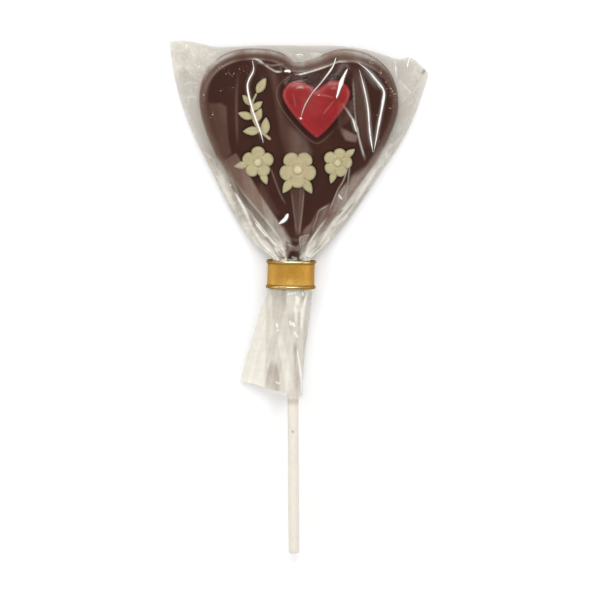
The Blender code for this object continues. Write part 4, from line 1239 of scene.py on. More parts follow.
def inlay_surface():
    """The red heart: loops drawn in to the middle, whose height follows their distance from the edge.

    A quarter-circle shoulder meets a low dome.
    """
    outline = inlay_outline(420)
    plan = drawn_in(outline, outline.mean(axis=0), 64, 0.98, 1.35)
    depth = np.maximum(depth_in(plan[..., 0], plan[..., 1], outline), 0)
    base, rise = INLAY_LOW.z, INLAY_HIGH.z - INLAY_LOW.z
    shoulder = (0.93 - INLAY_WALL) * rounding(depth, INLAY_SHOULDER)
    z = base + rise * (INLAY_WALL + shoulder + 0.07 * smooth_step(0, INLAY_DOME, depth))
    # painted shade on the wall and near the edge of the top
    low = np.concatenate((np.ones((2, len(outline))), (1 - smooth_step(0, 0.8 * MM, depth)) * 0.8))
    return on_foot(outline, plan, z, base, base + 0.5 * MM), {"foot": np.append(low, (1.0, 0.0))}


def raised(outline, plan, height, base):
    """A low form and the painted shade at its foot: a wall under the plan's rows at their heights."""
    surface = on_foot(outline, plan, base + height, base - 0.3 * MM, base)
    # painted shade, darkest on the wall and where the form is low at its edges
    foot = np.concatenate((np.ones((2, len(outline))), 1 - smooth_step(0.15 * MM, 0.75 * MM, height)))
    return surface, np.append(foot * 0.8, (1.0, 0.0))


def blossom_form(spec, settings):
    """Five cupped petals round a button: rounded edges, a groove between petals and one round the button."""
    radius, turn, centre = spec["radius"] * MM, math.radians(spec["turn"]), np.array(spec["centre"]) * MM
    outline = blossom_outline(radius, turn, 400)
    plan = drawn_in(outline, np.zeros(2), 46, 0.97, 1.5)
    x, y = plan[..., 0], plan[..., 1]
    out, petal = np.hypot(x, y), 2 * math.pi / PETALS
    depth = np.maximum(depth_in(x, y, outline[::2]), 0)
    from_cleft = np.abs(((np.arctan2(y, x) - turn) / petal) % 1.0 - 0.5) * petal * out
    cleft = bell(from_cleft, CLEFT_WIDTH) * smooth_step(0.30 * radius, 0.62 * radius, out)
    cup = bell(out / radius - 0.52, 0.20)
    button = rounding(BUTTON_SHARE * radius - out, BUTTON_SHARE * radius)
    moat = bell(out - MOAT_SHARE * radius, MOAT_WIDTH)
    height = settings.relief * rounding(depth, PETAL_EDGE) * (1 - 0.14 * cup - 0.34 * cleft)
    height = np.maximum(height - MOAT_DEPTH * moat + BUTTON_RISE * button, 0.0)
    return raised(outline + centre, plan + centre, height, RIM_Z - settings.rim_step)


def leaf_form(length, turn, foot, settings):
    """An almond with rounded edges and a vein pressed along its middle."""
    outline = leaf_outline(length, 96)
    plan = drawn_in(outline, outline.mean(axis=0), 18, 0.97, 1.5)
    depth = np.maximum(depth_in(plan[..., 0], plan[..., 1], outline), 0)
    along = plan[..., 0] / length
    vein = bell(plan[..., 1], VEIN_WIDTH) * smooth_step(0.02, 0.2, along) * (1 - along)
    height = settings.relief * LEAF_HEIGHT * rounding(depth, LEAF_EDGE) - VEIN_DEPTH * vein
    base = RIM_Z - settings.rim_step
    return raised(turned(outline, turn, foot), turned(plan, turn, foot), np.maximum(height, 0), base)


def stem_form(settings):
    """The sprig's stem: a half-round section carried along its curve, thinner towards its end."""
    t = np.linspace(0, 1, 60)
    point, turn = stem_line(t)
    base = RIM_Z - settings.rim_step
    line = np.column_stack((point, np.full(len(t), base - 0.2 * MM)))
    across = np.stack((-np.sin(turn), np.cos(turn), np.zeros(len(t))), axis=1)
    angle = np.linspace(0, math.pi, 15)
    half = 0.5 * SPRIG_STEM_WIDTH
    section = np.stack((half * np.cos(angle), SPRIG_STEM_HEIGHT * np.sin(angle) ** 0.8), axis=1)
    scale = (1 - 0.35 * t) * (0.4 + 0.6 * rounding(np.minimum(t, 1 - t), 0.04))
    surface = closed_surface(carried(line, across, section, scale)[:, ::-1])
    return surface, np.zeros(len(surface[0]))


# Stick and ring


def stick_surface(radius):
    """A round bar along the stick's line with softened ends, its radius wavering by a few hundredths.

    It has a brown speck, and is darker below the mouth of the film by a painted shadow.
    """
    y = STICK_END[1] + np.linspace(0, 1, 260)[:, None] * (STICK_TOP_Y - STICK_END[1])
    size = radius - STICK_SOFT * (1 - rounding(np.minimum(y - y[0], y[-1] - y), STICK_SOFT))
    size = size + 0.014 * MM * waves(6 * full_turn(64)[None] * MM, y, 14 * MM, 5, 3)
    bar = round_bar(y, size)
    shares, dents = np.array(STICK_CAP).T[..., None]
    middle = bar[0].mean(axis=0)
    cap = middle + shares[..., None] * (bar[0] - middle)
    cap[..., 1] += dents * MM
    loops = np.concatenate((cap, bar))
    x, y, z = np.moveaxis(loops, -1, 0)
    aside = np.hypot(x - stick_axis_x(y) - STICK_SPECK[0], y - STICK_SPECK[1])
    # a real speck, and a painted shadow in a band below the film's mouth
    brown = np.maximum(bell(aside, SPECK_SIZE) * (z > STICK_Z), 0.38 * bell(y - STICK_SHADE_Y, 1.4 * MM))
    return closed_surface(loops), {"speck": np.append(brown, (0.0, 0.0))}


def ring_surface(wall, lip):
    """The sleeve's section, a thin wall with a rolled lip at both ends, carried round an oval.

    With it come its lips; the seats inside them and its flanks, darkened by painted shade; where it is
    polished and carries a painted glint; and its painted sheen.
    """
    half = RING_HEIGHT / 2 - lip
    roll = np.radians(np.linspace(-60, 180, 15))
    upper = np.stack((wall + 0.7 * lip * np.sin(roll), half - lip * np.cos(roll)), axis=1)
    lower = upper[::-1] * (1, -1)
    waist = np.linspace(upper[0, 1], lower[-1, 1], 24)[1:-1]
    outer = np.stack((wall * 0.55 + wall * 0.45 * np.abs(waist / half) ** 3, waist), axis=1)
    inner = np.stack((np.zeros(12), np.linspace(-half - lip, half + lip, 12)), axis=1)
    section = np.vstack((inner, upper[::-1], outer, lower[::-1]))
    along = section[:, 1]
    angle = full_turn(240)[:, None]
    out = section[:, 0] + 0.03 * MM * waves(9 * angle * MM, along[None], 12 * MM, 4, 2)
    x = (RING_INNER[0] + out) * np.cos(angle)
    z = STICK_Z + (RING_INNER[1] + out) * np.sin(angle)
    plan = turned(np.stack((x, along + 0 * angle), axis=2), RING_TURN, RING_CENTRE)
    rows, columns = x.shape
    row, column = np.arange(rows)[:, None] * columns, np.arange(columns)
    after_row, after = np.roll(row, -1, axis=0), np.roll(column, -1)
    quads = np.stack((after_row + column, after_row + after, row + after, row + column), axis=-1)
    # Marks on the gold: the smoother lips, and painted light, with shade in the seats and on the flanks, a
    # glint along the lips' middles and a sheen on the body. They follow the height over the lips' middles,
    # and the place across
    rise = np.abs(along) - half + 0 * x
    head = along > 0
    lit = np.where(head, x - 0.8 * MM, x + 1.0 * MM) / np.where(head, 5.0 * MM, 4.4 * MM)
    on_lip = smooth_step(-0.50 * MM, -0.25 * MM, rise)
    glow = bell(x - 0.5 * MM, 4.6 * MM) * bell(along + 2.9 * MM, 1.5 * MM)
    end_glow = bell(x + 7.6 * MM, 0.9 * MM) * (np.abs(along) < half - 0.7 * MM)
    values = {
        "lip": on_lip,
        "seat": bell(rise + 0.62 * MM, 0.22 * MM),
        "polish": bell(rise - np.where(head, 0.12, -0.12) * MM, 0.36 * MM) * np.exp(-(lit**4)),
        "flank": 0.70 * bell(x + 4.8 * MM, 2.0 * MM) * (1 - on_lip) + 1 - np.exp(-((x / (7.8 * MM)) ** 6)),
        "sheen": 0.7 * glow + 0.30 * end_glow,
    }
    points = at_height(plan, z).reshape(-1, 3)
    return (points, quads.reshape(-1, 4), np.empty((0, 3), int)), values


# Film bag


def film_plan(rows, columns):
    """Plan of the bag's grid, with the shares across and along at which its points lie.

    Rows run from the mouth to the top. The sides are curves in y, the mouth and top are curves in x, and
    a few passes bring each point to where its share of both ways meets.
    """
    across, along = np.meshgrid(np.linspace(0, 1, columns + 1), np.linspace(0, 1, rows + 1))
    y = (FILM_MOUTH[0][1] + along * (FILM_TOP[0][1] - FILM_MOUTH[0][1])) * MM
    for _ in range(FILM_PLAN_PASSES):
        left, right = smooth_table(FILM_EDGES, y)
        x = left + across * (right - left)
        mouth, top = smooth_table(FILM_MOUTH, x)[0], smooth_table(FILM_TOP, x)[0]
        y = mouth + along * (top - mouth)
    return x, y, across, along


def read_film(grid, x, y):
    """A grid's values at plan points of the bag, straight between the grid's own points."""
    left, right = smooth_table(FILM_EDGES, y)
    mouth, top = smooth_table(FILM_MOUTH, x)[0], smooth_table(FILM_TOP, x)[0]
    rows, columns = grid.shape
    column = np.clip((x - left) / (right - left), 0, 1) * (columns - 1)
    row = np.clip((y - mouth) / (top - mouth), 0, 1) * (rows - 1)
    i, j = np.minimum(row.astype(int), rows - 2), np.minimum(column.astype(int), columns - 2)
    t, s = row - i, column - j
    low = grid[i, j] * (1 - s) + grid[i, j + 1] * s
    return low * (1 - t) + (grid[i + 1, j] * (1 - s) + grid[i + 1, j + 1] * s) * t


def held_height(x, y, clearance, chocolate):
    """Top of what the film is drawn over: heart, red heart, cream forms, neck and stick."""
    top = chocolate_height(x, y, chocolate.shoulder)
    inlay = depth_in(x, y, inlay_outline(120))
    puff = INLAY_LOW.z + (INLAY_HIGH.z - INLAY_LOW.z) * (0.4 + 0.6 * rounding(inlay, 2.3 * MM))
    top = np.where(inlay > 0, puff, top)
    face = RIM_Z - chocolate.rim_step
    for outline in relief_outlines(40):
        close = boxed(x, y, outline, 1.0 * MM)
        depth = depth_in(x[close], y[close], outline)
        form = np.where(depth > 0, face + (chocolate.relief + 0.1 * MM) * rounding(depth, 0.9 * MM), 0)
        top[close] = np.maximum(top[close], form)
    aside = np.abs(x - stick_axis_x(y))
    neck = np.where(y > NECK_END[0], NECK_ROOT[1], (STICK_HIGH.z - STICK_LOW.z) / 2)
    rod = STICK_Z + np.sqrt(np.maximum(neck**2 - aside**2, 0))
    return np.where((y < NECK_ROOT[0]) & (aside < neck), np.maximum(top, rod), top) + clearance


def relaxed(x, y, grid, lowest, fixed, passes):
    """Each free point takes the mean of its neighbours, weighted by nearness, but none lies too low."""
    grid = grid.copy()
    by_x = 1 / np.maximum((x[1:-1, 2:] - x[1:-1, :-2]) / 2, 1e-6) ** 2
    by_y = 1 / np.maximum((y[2:, 1:-1] - y[:-2, 1:-1]) / 2, 1e-6) ** 2
    total = 2 * (by_x + by_y)
    core, held = lowest[1:-1, 1:-1], fixed[1:-1, 1:-1]
    for _ in range(passes):
        mean = by_x * (grid[1:-1, 2:] + grid[1:-1, :-2]) + by_y * (grid[2:, 1:-1] + grid[:-2, 1:-1])
        grid[1:-1, 1:-1] = np.where(held, grid[1:-1, 1:-1], np.maximum(mean / total, core))
    return grid


def drawn_taut(x, y, lowest, height, fixed):
    """Film drawn taut over what it holds. Coarse grids come first, and each one starts the next."""
    grid = height[::4, ::4]
    for step, passes in zip((4, 2, 1), FILM_PASSES):
        at_x, at_y, floor, start, held = (part[::step, ::step] for part in (x, y, lowest, height, fixed))
        grid = relaxed(at_x, at_y, np.where(held, start, grid), floor, held, passes)
        if step > 1:
            finer = np.empty((2 * grid.shape[0] - 1, 2 * grid.shape[1] - 1))
            finer[::2, ::2] = grid
            finer[1::2, ::2] = (grid[1:] + grid[:-1]) / 2
            finer[:, 1::2] = (finer[:, 2::2] + finer[:, :-2:2]) / 2
            grid = finer
    return grid


def pleats(across, y):
    """Folds along lines of equal share across, that fade out above their reach.

    Above the ring each falls off on both sides as a narrow peak. Below it there are a few broad ones.
    """
    draw = np.random.default_rng(17)
    total = np.zeros(across.shape)
    sides = [(0.04 + 0.085 * k, 58 - 10 * k) for k in range(4)]
    sides += [(0.96 - 0.085 * k, 54 - 9 * k) for k in range(4)]
    middle = [(place, 24 + 8 * draw.random()) for place in np.linspace(0.32, 0.68, 5)]
    for place, reach in sides + middle:
        place = place + draw.uniform(-0.02, 0.02)
        reach = (reach + draw.uniform(-4, 4)) * MM
        width = draw.uniform(0.012, 0.034)
        size = draw.uniform(0.4, 1.0)
        fade = smooth_step(reach, reach - 16 * MM, y) * smooth_step(-6 * MM, 4 * MM, y)
        total += size * fade * np.exp(-(np.abs(across - place) / width) ** 1.5)
    tail = smooth_step(4 * MM, -4 * MM, y)
    for place, width, size in TAIL_PLEATS:
        total += size * tail * bell(across - place, width)
    return total


def band_cover(x, y, rows, soft, fade):
    """Which plan points a band comes near, how much it covers each of them, and its share there.

    The rows are x, y and half-width in millimetres. The cover falls off beyond the half-width, and in the
    fade at both ends.
    """
    line = curved_line(np.array(rows) * MM, 6 * len(rows))
    first, last = np.broadcast_to(fade, 2)
    near = boxed(x, y, line[:, :2], line[:, 2].max() + soft * MM)
    gap, share = to_line(x[near], y[near], line[:, :2])
    half = np.interp(share, np.linspace(0, 1, len(line)), line[:, 2])
    ends = smooth_step(0, first, share) * smooth_step(0, last, 1 - share)
    return near, ends * smooth_step(soft * MM, 0, gap - half), share


def film_layers(x, y):
    """What is laid over the front film, in order: where, how solid, how pale, and how much it covers."""
    for solid, tone, soft, outline in FILM_PATCHES:
        depth = depth_in(x, y, np.array(outline) * MM)
        yield slice(None), solid, tone, smooth_step(-soft * MM, soft * MM, depth)
    for solid, tone, soft, fade, rows in FILM_BANDS:
        near, cover, share = band_cover(x, y, rows, soft, fade)
        yield near, spread(solid, share), spread(tone, share), cover
    for solid, tone, half, points in FOLD_LINES:
        near, cover, _ = band_cover(x, y, [(*point, half) for point in points], FOLD_SOFT, FOLD_FADE)
        yield near, solid, tone, cover
    # the painted glow: pale haze beside each crease's painted highlight
    for _, glint, points in CREASES:
        rows = [(*point, GLOW_HALF) for point in points]
        near, cover, share = band_cover(x, y, rows, GLOW_SOFT, FOLD_FADE)
        yield near, GLOW_SOLID, GLOW_TONE, cover * CREASE_GLOW * spread(glint, share) ** 2


def film_values(x, y, across, along, z, pleat):
    """How solid, how pale and how streaked the front film is over its grid, with its own coordinates.

    It is clear over the heart's face, hazy on the shoulder as far as its rim line and on the wings, clearer
    again where it drops steeply beside the heart, and gathers beyond two lines into the sides. The shoulder's
    haze is a painted reflection, with a painted highlight line along the rim. The patches, bands, fold lines
    and the creases' painted glow are then laid over it one by one.
    """
    # Where the sides, the wings, the tail and the places on the lobes are
    left, right = (np.interp(y, *np.array(table).T * MM) for table in (HAZE_LEFT, HAZE_RIGHT))
    beyond = np.maximum(left - x, 0.85 * (x - right))
    side = smooth_step(-0.5 * MM, 4.5 * MM, beyond) * smooth_step(70 * MM, 42 * MM, y)
    inside = depth_in(x, y, chocolate_outline(120))
    neck = NECK_END[1] - np.abs(x - stick_axis_x(y) - NECK_SHIFT)
    inside = np.where((y > 12 * MM) & (y < NECK_ROOT[0]), np.maximum(inside, neck), inside)
    wing = smooth_step(1.3 * MM, -1.3 * MM, inside)
    tail = smooth_step(9 * MM, 3 * MM, y)
    upper = smooth_step(74 * MM, 91 * MM, y)
    far = smooth_step(20 * MM, 34 * MM, x)
    broad = upper * smooth_step(0, 14 * MM, x) * (1 - far)
    dip = upper * bell(x, 9 * MM)
    lobe = bell(y - 79 * MM, 10 * MM) * smooth_step(-12 * MM, -26 * MM, x)
    cloud = waves(x, y, 13 * MM, 41, 3)
    # The shoulder's haze, a painted reflection of the film over the sloping shoulder: a pale outer part, a
    # brown part within the rim and a painted highlight line along the rim
    rim = (1.9 + 1.7 * upper + 0.4 * broad) * MM
    outer = smooth_step(rim - 1.2 * MM, 0.5 * MM, inside)
    outer = outer * (0.11 + 0.39 * upper + 0.12 * smooth_step(74 * MM, 62 * MM, y)) * (1 - 0.5 * dip)
    brown = smooth_step(rim + 1.1 * MM, rim - 0.3 * MM, inside) * (0.10 - 0.05 * upper + 0.08 * broad)
    brown = np.maximum(brown, 0.14 * lobe * smooth_step(4.0 * MM, 2.0 * MM, inside))
    line = bell(inside - rim, 0.40 * MM) * (0.05 + 0.16 * upper)
    shoulder = (np.maximum(outer, brown) + line) * (1 - 0.72 * far)
    shoulder = np.maximum(shoulder * smooth_step(20 * MM, 26 * MM, y), FACE_HAZE)
    # How solid, thinner at the top edge and where it is steep
    solid = np.maximum(np.maximum(0.74 * side, (0.24 + 0.035 * cloud) * wing), shoulder)
    solid = toward(solid, 0.70, tail) * (1 - 0.45 * wing * smooth_step(0.985, 1.0, along))
    drop = np.hypot(*(np.gradient(z, axis=way) / np.gradient(at, axis=way) for way, at in ((1, x), (0, y))))
    steep = smooth_step(0.8, 2.2, drop) * smooth_step(0.8 * MM, 0, inside)
    solid = solid * (1 - 0.60 * steep * (1 - side) * (1 - tail))
    # How pale, and both changed a little along the pleats
    tone = 0.26 + 0.18 * smooth_step(3.0 * MM, 1.0 * MM, inside) * (1 - 0.5 * lobe)
    tone = toward(tone, 0.68 - 0.07 * dip + 0.05 * cloud, wing)
    tone = toward(tone, 0.34 + 0.18 * side + 0.05 * cloud, np.minimum(3 * side, 1))
    tone = toward(tone, 0.66, tail)
    folded = (np.clip(pleat, 0, 1) * side * (1 - tail) - 0.3) * side
    solid, tone = solid + 0.10 * folded, tone + 0.16 * folded
    for near, solid_there, tone_there, cover in film_layers(x, y):
        solid[near] = toward(solid[near], solid_there, cover)
        tone[near] = toward(tone[near], tone_there, cover)
    # How streaked along the folds, and how crinkled
    gather = np.maximum(0.75 * side, 0.9 - 0.78 * wing) * (1 - tail) + 0.20 * tail
    crinkle = 0.20 + 0.55 * wing * (1 - 0.65 * side) * (1 - tail) - 0.05 * tail
    values = {"solid": solid, "tone": tone, "gather": gather, "crinkle": crinkle}
    return values | {"across": across, "along": along}


def crease_rises(x, y, rise):
    """How far each plan point is lifted by the creases: a band along each, drawn in at both ends."""
    total = np.zeros(x.shape)
    for _, glint, points in CREASES:
        line = curved_line(np.array(points) * MM, 10 * len(points))
        near = boxed(x, y, line, 1 * MM)
        gap, share = to_line(x[near], y[near], line)
        ends = rounding(np.minimum(share, 1 - share), 0.2)
        lift = rise * (0.4 + 0.6 * spread(glint, share)) * ends * (gap < 0.4 * MM)
        total[near] = np.maximum(total[near], lift)
    return total


def front_sheet(settings, chocolate):
    """The shown sheet: taut over what it holds, lifted in creases and gathered in pleats.

    Its places, its shares across and along, its heights and its pleats are each a grid.
    """
    x, y, across, along = film_plan(*FILM_GRID)
    seam, crown, _ = smooth_table(FILM_HEIGHTS, y, level=True)
    ring = (y > FILM_RING_ROWS[0] * MM) & (y < FILM_RING_ROWS[1] * MM)
    lowest = np.where(ring, 0, held_height(x, y, settings.clearance, chocolate))
    fixed = ring.copy()
    fixed[[0, -1]] = True
    fixed[:, [0, -1]] = True
    oval = np.sqrt(np.maximum(1 - (2 * across - 1) ** 2, 0))
    height = np.where(ring, seam + (crown - seam) * oval, seam)
    height[0] += (crown - seam)[0] * np.sin(math.pi * across[0] ** 1.2) ** 0.8 * (0.55 + 0.45 * across[0])
    grid = drawn_taut(x, y, lowest, height, fixed)
    rise = crease_rises(x, y, settings.crease_rise)
    lifted = np.where(rise > 0, np.maximum(grid, lowest) + rise, lowest)
    grid = relaxed(x, y, np.maximum(grid, lifted), lifted, fixed, FILM_CREASE_PASSES)
    fold = pleats(across, y)
    keep = rounding(np.minimum(across, 1 - across), 0.05) * smooth_step(0, 0.03, along)
    depth = settings.pleat_depth * (1 - 0.55 * smooth_step(18 * MM, 12 * MM, y))
    grid = grid + depth * (fold - 0.35) * keep * smooth_step(64 * MM, 40 * MM, y)
    held = depth_in(x, y, chocolate_outline(120))
    grid = grid + 0.16 * MM * waves(x, y, 9 * MM, 21, 4) * smooth_step(3 * MM, 0, held) * keep
    return x, y, across, along, np.maximum(grid, lowest), fold


def back_sheet(front):
    """The sheet below: nearly level under the heart, rising to the seams and round the stick in the ring."""
    x, y, across, along, top, _ = (values[::BACK_STEP, ::BACK_STEP] for values in front)
    seam, _, low = smooth_table(FILM_HEIGHTS, y, level=True)
    inner = np.minimum(across, 1 - across)
    way = 1 - np.sqrt(np.maximum(1 - (2 * across - 1) ** 2, 0))
    left, right = smooth_table(FILM_EDGES, y)
    aside = np.minimum(inner * (right - left), (1 - along) * 120 * MM)
    share = np.where(y < 20 * MM, way, np.exp(-aside / (2.6 * MM)))
    z = low + (seam - low) * share + 0.05 * MM * waves(x, y, 11 * MM, 31, 3)
    z = np.minimum(np.maximum(z, 0.06 * MM), top)
    z = np.where((inner == 0) | (along == 1), top, z)
    tail = smooth_step(9 * MM, 3 * MM, y)
    values = {"solid": 0.05 + 0.35 * tail, "tone": 0.7 + 0.1 * tail, "gather": 0.2 * tail}
    values |= {"crinkle": 0.3 + 0 * tail, "across": across, "along": along}
    return sheet_surface(x, y, z, up=False), values


def crease_ridges(film_z):
    """Thin ridges: a pointed section carried along each crease on the film, drawn in at both ends.

    How bright its painted highlight is at each of its points comes with it.
    """
    ridges, glints = [], []
    section = np.array(CREASE_SECTION) * MM
    for width, glint, points in CREASES:
        count = 14 * len(points)
        line = curved_line(np.array(points) * MM, count)
        way = np.gradient(line, axis=0)
        way /= np.linalg.norm(way, axis=1)[:, None]
        across = np.column_stack((-way[:, 1], way[:, 0], np.zeros(count)))
        t = np.linspace(0, 1, count)
        half = spread(width, t) / 2 * (1 + 0.16 * waves(line[:, 0], line[:, 1], 8 * MM, 6, 2))
        scale = np.maximum(half * rounding(np.minimum(t, 1 - t), 0.3), 0.03)
        line = np.column_stack((line, read_film(film_z, line[:, 0], line[:, 1])))
        ridges.append(closed_surface(carried(line, across, section, scale)[:, ::-1]))
        bright = spread(glint, t)
        glints.append(np.append(np.repeat(bright, len(section)), (bright[0], bright[-1])))
    return joined(ridges), {"glint": np.concatenate(glints)}


# Crumbs


def with_fines(rows, seed):
    """The crumbs in a list of x, y and size, and round each a few seeded ones that are much finer."""
    draw = np.random.default_rng(seed)
    rows = np.array(rows)
    spots = np.repeat(rows, CRUMB_FINES, axis=0)
    spots[:, :2] += draw.normal(0, CRUMB_REACH, (len(spots), 2))
    spots[:, 2] *= draw.uniform(0.25, 0.6, len(spots))
    return np.vstack((rows, spots)) * MM


def crumbs_surface(spots, seed, rest):
    """Broken bits: round grids of points pushed in and out by seeded amounts, each on its resting height."""
    draw = np.random.default_rng(seed)
    count = len(spots)
    up = np.linspace(-1, 1, 7)[1:-1][None, :, None]
    angle = full_turn(9)[None, None]
    lump = 1 + 0.30 * draw.uniform(-1, 1, (count, 5, 9))
    angle = angle + draw.uniform(0, 2 * math.pi, (count, 1, 1))
    centre_x, centre_y, size = (column[:, None, None] for column in spots.T)
    ring = np.sqrt(1 - up**2) * lump * size / 2
    x = centre_x + ring * np.cos(angle)
    y = centre_y + ring * np.sin(angle) * draw.uniform(0.5, 0.9, (count, 1, 1))
    z = rest[:, None, None] + size / 2 * (0.55 + 0.55 * up) + 0 * ring
    return joined([closed_surface(bit) for bit in np.stack((x, y, z), axis=3)])


# Operators


class LOLLIPOP_OT_chocolate(Operator):
    """Builds the dark chocolate heart and its neck"""

    bl_idname = "lollipop.chocolate"
    bl_label = "Chocolate Heart"

    def execute(self, context):
        settings = context.scene.lollipop_chocolate
        material = chocolate_finish(settings.dark)
        for name, made in (("moulded_heart", chocolate_surface(settings)), ("moulded_neck", neck_surface())):
            add_piece(name, made, material, "dark_chocolate", "chocolate_heart")
        return {"FINISHED"}


class LOLLIPOP_OT_red_heart(Operator):
    """Builds the puffy red heart set into the face"""

    bl_idname = "lollipop.red_heart"
    bl_label = "Red Heart"

    def execute(self, context):
        material = red_finish(context.scene.lollipop_chocolate.red)
        add_piece("red_heart_inlay", inlay_surface(), material, "red_chocolate", "red_heart")
        return {"FINISHED"}


class LOLLIPOP_OT_relief(Operator):
    """Builds the cream blossoms and the sprig"""

    bl_idname = "lollipop.relief"
    bl_label = "Cream Relief"

    def execute(self, context):
        settings = context.scene.lollipop_chocolate
        material = cream_finish(settings.cream)
        pieces = []
        for spec in BLOSSOMS:
            name = f"blossom_{spec['name']}"
            pieces.append((name, f"cream_{name}", [blossom_form(spec, settings)], blossom_leaves(spec)))
        pieces.append(("sprig_relief", "cream_sprig", [stem_form(settings)], sprig_leaves()))
        for name, node, forms, leaves in pieces:
            surfaces, foot_shades = zip(*forms, *(leaf_form(*leaf, settings) for leaf in leaves))
            made = joined(surfaces), {"foot": np.concatenate(foot_shades)}
            add_piece(name, made, material, "white_chocolate", node)
        return {"FINISHED"}


class LOLLIPOP_OT_holder(Operator):
    """Builds the paper stick and the gold ring"""

    bl_idname = "lollipop.holder"
    bl_label = "Stick and Ring"

    def execute(self, context):
        settings = context.scene.lollipop_holder
        stick = stick_surface(settings.stick_radius)
        add_piece("paper_stick", stick, paper_finish(settings.paper), "stick_paper", "stick")
        ring = ring_surface(settings.ring_wall, settings.ring_lip)
        add_piece("ring_sleeve", ring, gold_finish(settings.gold), "gold_metal", "gold_ring")
        return {"FINISHED"}


class LOLLIPOP_OT_film(Operator):
    """Builds the film bag: its two sheets and the creases in them"""

    bl_idname = "lollipop.film"
    bl_label = "Film Bag"

    def execute(self, context):
        settings = context.scene.lollipop_film
        front = front_sheet(settings, context.scene.lollipop_chocolate)
        x, y, across, along, z, fold = front
        film = film_finish(settings.tint, settings.shaded, settings.milk)
        for name, made, material in (
            ("film_front", (sheet_surface(x, y, z), film_values(x, y, across, along, z, fold)), film),
            ("film_back", back_sheet(front), film),
            ("film_creases", crease_ridges(z), crease_finish(CREASE_HIGHLIGHT_WHITE)),
        ):
            add_piece(name, made, material, "clear_film", "film_bag")
        return {"FINISHED"}


class LOLLIPOP_OT_crumbs(Operator):
    """Scatters the crumbs that lie in the bag"""

    bl_idname = "lollipop.crumbs"
    bl_label = "Crumbs"

    def execute(self, context):
        shoulder = context.scene.lollipop_chocolate.shoulder
        kinds = (("tan_crumbs", TAN_CRUMBS, TAN_CRUMB), ("dark_crumbs", DARK_CRUMBS, DARK_CRUMB))
        for seed, (name, rows, brown) in enumerate(kinds):
            spots = with_fines(rows, seed)
            rest = np.maximum(chocolate_height(spots[:, 0], spots[:, 1], shoulder), 0.8 * MM)
            made = crumbs_surface(spots, seed, rest), {}
            add_piece(name, made, crumb_finish(name, brown), "dark_chocolate")
        return {"FINISHED"}


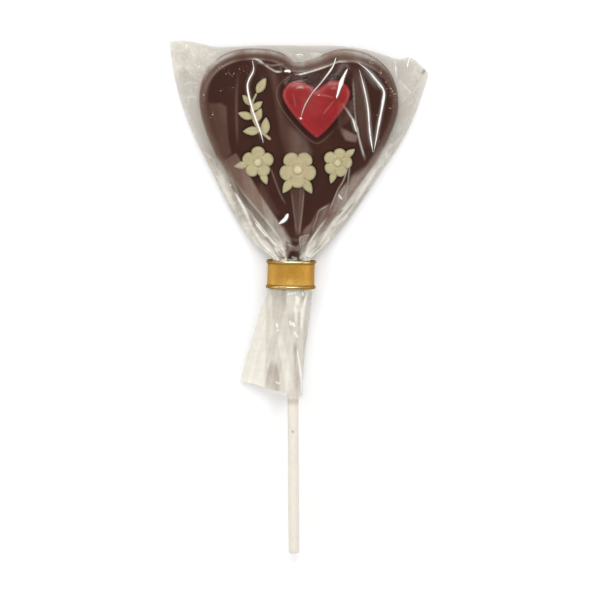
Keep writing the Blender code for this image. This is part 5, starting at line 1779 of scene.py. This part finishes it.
class LOLLIPOP_OT_stage(Operator):
    """Sets the floor, the soft lights, the surroundings and the camera"""

    bl_idname = "lollipop.stage"
    bl_label = "Stage"

    def execute(self, context):
        settings = context.scene.lollipop_stage
        self.add_floor(settings.floor)
        for light in LIGHTS:
            self.add_light(*light)
        world = bpy.data.worlds.new("studio")
        world.use_nodes = True
        background = world.node_tree.nodes["Background"]
        background.inputs["Color"].default_value = (1.0, 1.0, 1.0, 1.0)
        background.inputs["Strength"].default_value = settings.world_light
        context.scene.world = world
        context.scene.view_settings.view_transform = "Standard"
        self.add_camera(context, settings)
        return {"FINISHED"}

    def add_floor(self, pale):
        """A level square under the lollipop."""
        mesh = bpy.data.meshes.new("floor")
        corners = [(x * FLOOR_HALF, y * FLOOR_HALF, 0) for x, y in ((-1, -1), (1, -1), (1, 1), (-1, 1))]
        mesh.from_pydata(corners, [], [(0, 1, 2, 3)])
        mesh.materials.append(floor_finish(pale))
        floor = bpy.data.objects.new("floor", mesh)
        bpy.context.scene.collection.objects.link(floor)
        floor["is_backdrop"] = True

    def add_light(self, name, bearing, above, distance, size, radiance):
        """A panel that faces the lollipop's middle. A panel's power is pi times its area and radiance."""
        data = bpy.data.lights.new(name, "AREA")
        data.shape = "RECTANGLE"
        data.size, data.size_y = size
        data.energy = math.pi * size[0] * size[1] * radiance
        light = bpy.data.objects.new(name, data)
        turn, rise = math.radians(bearing), math.radians(above)
        way = (math.cos(rise) * math.cos(turn), math.cos(rise) * math.sin(turn), math.sin(rise))
        light.location = [distance * part for part in way]
        light.rotation_euler = (0, math.pi / 2 - rise, turn)
        light.visible_camera = False
        bpy.context.scene.collection.objects.link(light)

    def add_camera(self, context, settings):
        """A camera over the aim, leaning towards the lobes, whose lens shows the view's width there."""
        data = bpy.data.cameras.new("camera")
        data.sensor_width = 36.0
        data.lens = data.sensor_width * settings.distance / settings.view_width
        data.clip_end = 20.0
        camera = bpy.data.objects.new("camera", data)
        out, up = settings.distance * math.sin(settings.lean), settings.distance * math.cos(settings.lean)
        camera.location = (CAMERA_AIM[0], CAMERA_AIM[1] + out, CAMERA_AIM[2] + up)
        camera.rotation_euler = (-settings.lean, 0, 0)
        context.scene.collection.objects.link(camera)
        context.scene.camera = camera


SETTINGS = {
    "lollipop_chocolate": ChocolateSettings,
    "lollipop_holder": HolderSettings,
    "lollipop_film": FilmSettings,
    "lollipop_stage": StageSettings,
}
OPERATORS = (
    LOLLIPOP_OT_chocolate,
    LOLLIPOP_OT_red_heart,
    LOLLIPOP_OT_relief,
    LOLLIPOP_OT_holder,
    LOLLIPOP_OT_film,
    LOLLIPOP_OT_crumbs,
    LOLLIPOP_OT_stage,
)


class LOLLIPOP_PT_panel(Panel):
    """Lists the pieces of the lollipop and its stage"""

    bl_label = "Lollipop"
    bl_space_type = "VIEW_3D"
    bl_region_type = "UI"
    bl_category = "Lollipop"

    def draw(self, context):
        for operator in OPERATORS:
            self.layout.operator(operator.bl_idname)
        for key in SETTINGS:
            box = self.layout.box()
            settings = getattr(context.scene, key)
            for name in settings.__annotations__:
                box.prop(settings, name)


def register():
    """Makes the settings, the operators and the panel known, and adds the settings to the scene."""
    for group in (*SETTINGS.values(), *OPERATORS, LOLLIPOP_PT_panel):
        bpy.utils.register_class(group)
    for key, group in SETTINGS.items():
        setattr(bpy.types.Scene, key, PointerProperty(type=group))


def unregister():
    """Takes back what register added."""
    for key in SETTINGS:
        delattr(bpy.types.Scene, key)
    for group in (LOLLIPOP_PT_panel, *reversed(OPERATORS), *reversed(SETTINGS.values())):
        bpy.utils.unregister_class(group)


def main():
    """Builds every piece and the stage."""
    register()
    for operator in OPERATORS:
        family, name = operator.bl_idname.split(".")
        getattr(getattr(bpy.ops, family), name)()
    boxes = {"cad": (CAD_LOW, CAD_HIGH), "visual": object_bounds()}
    sizes = {name: [list(corner) for corner in box] for name, box in boxes.items()}


if __name__ == "__main__":
    main()
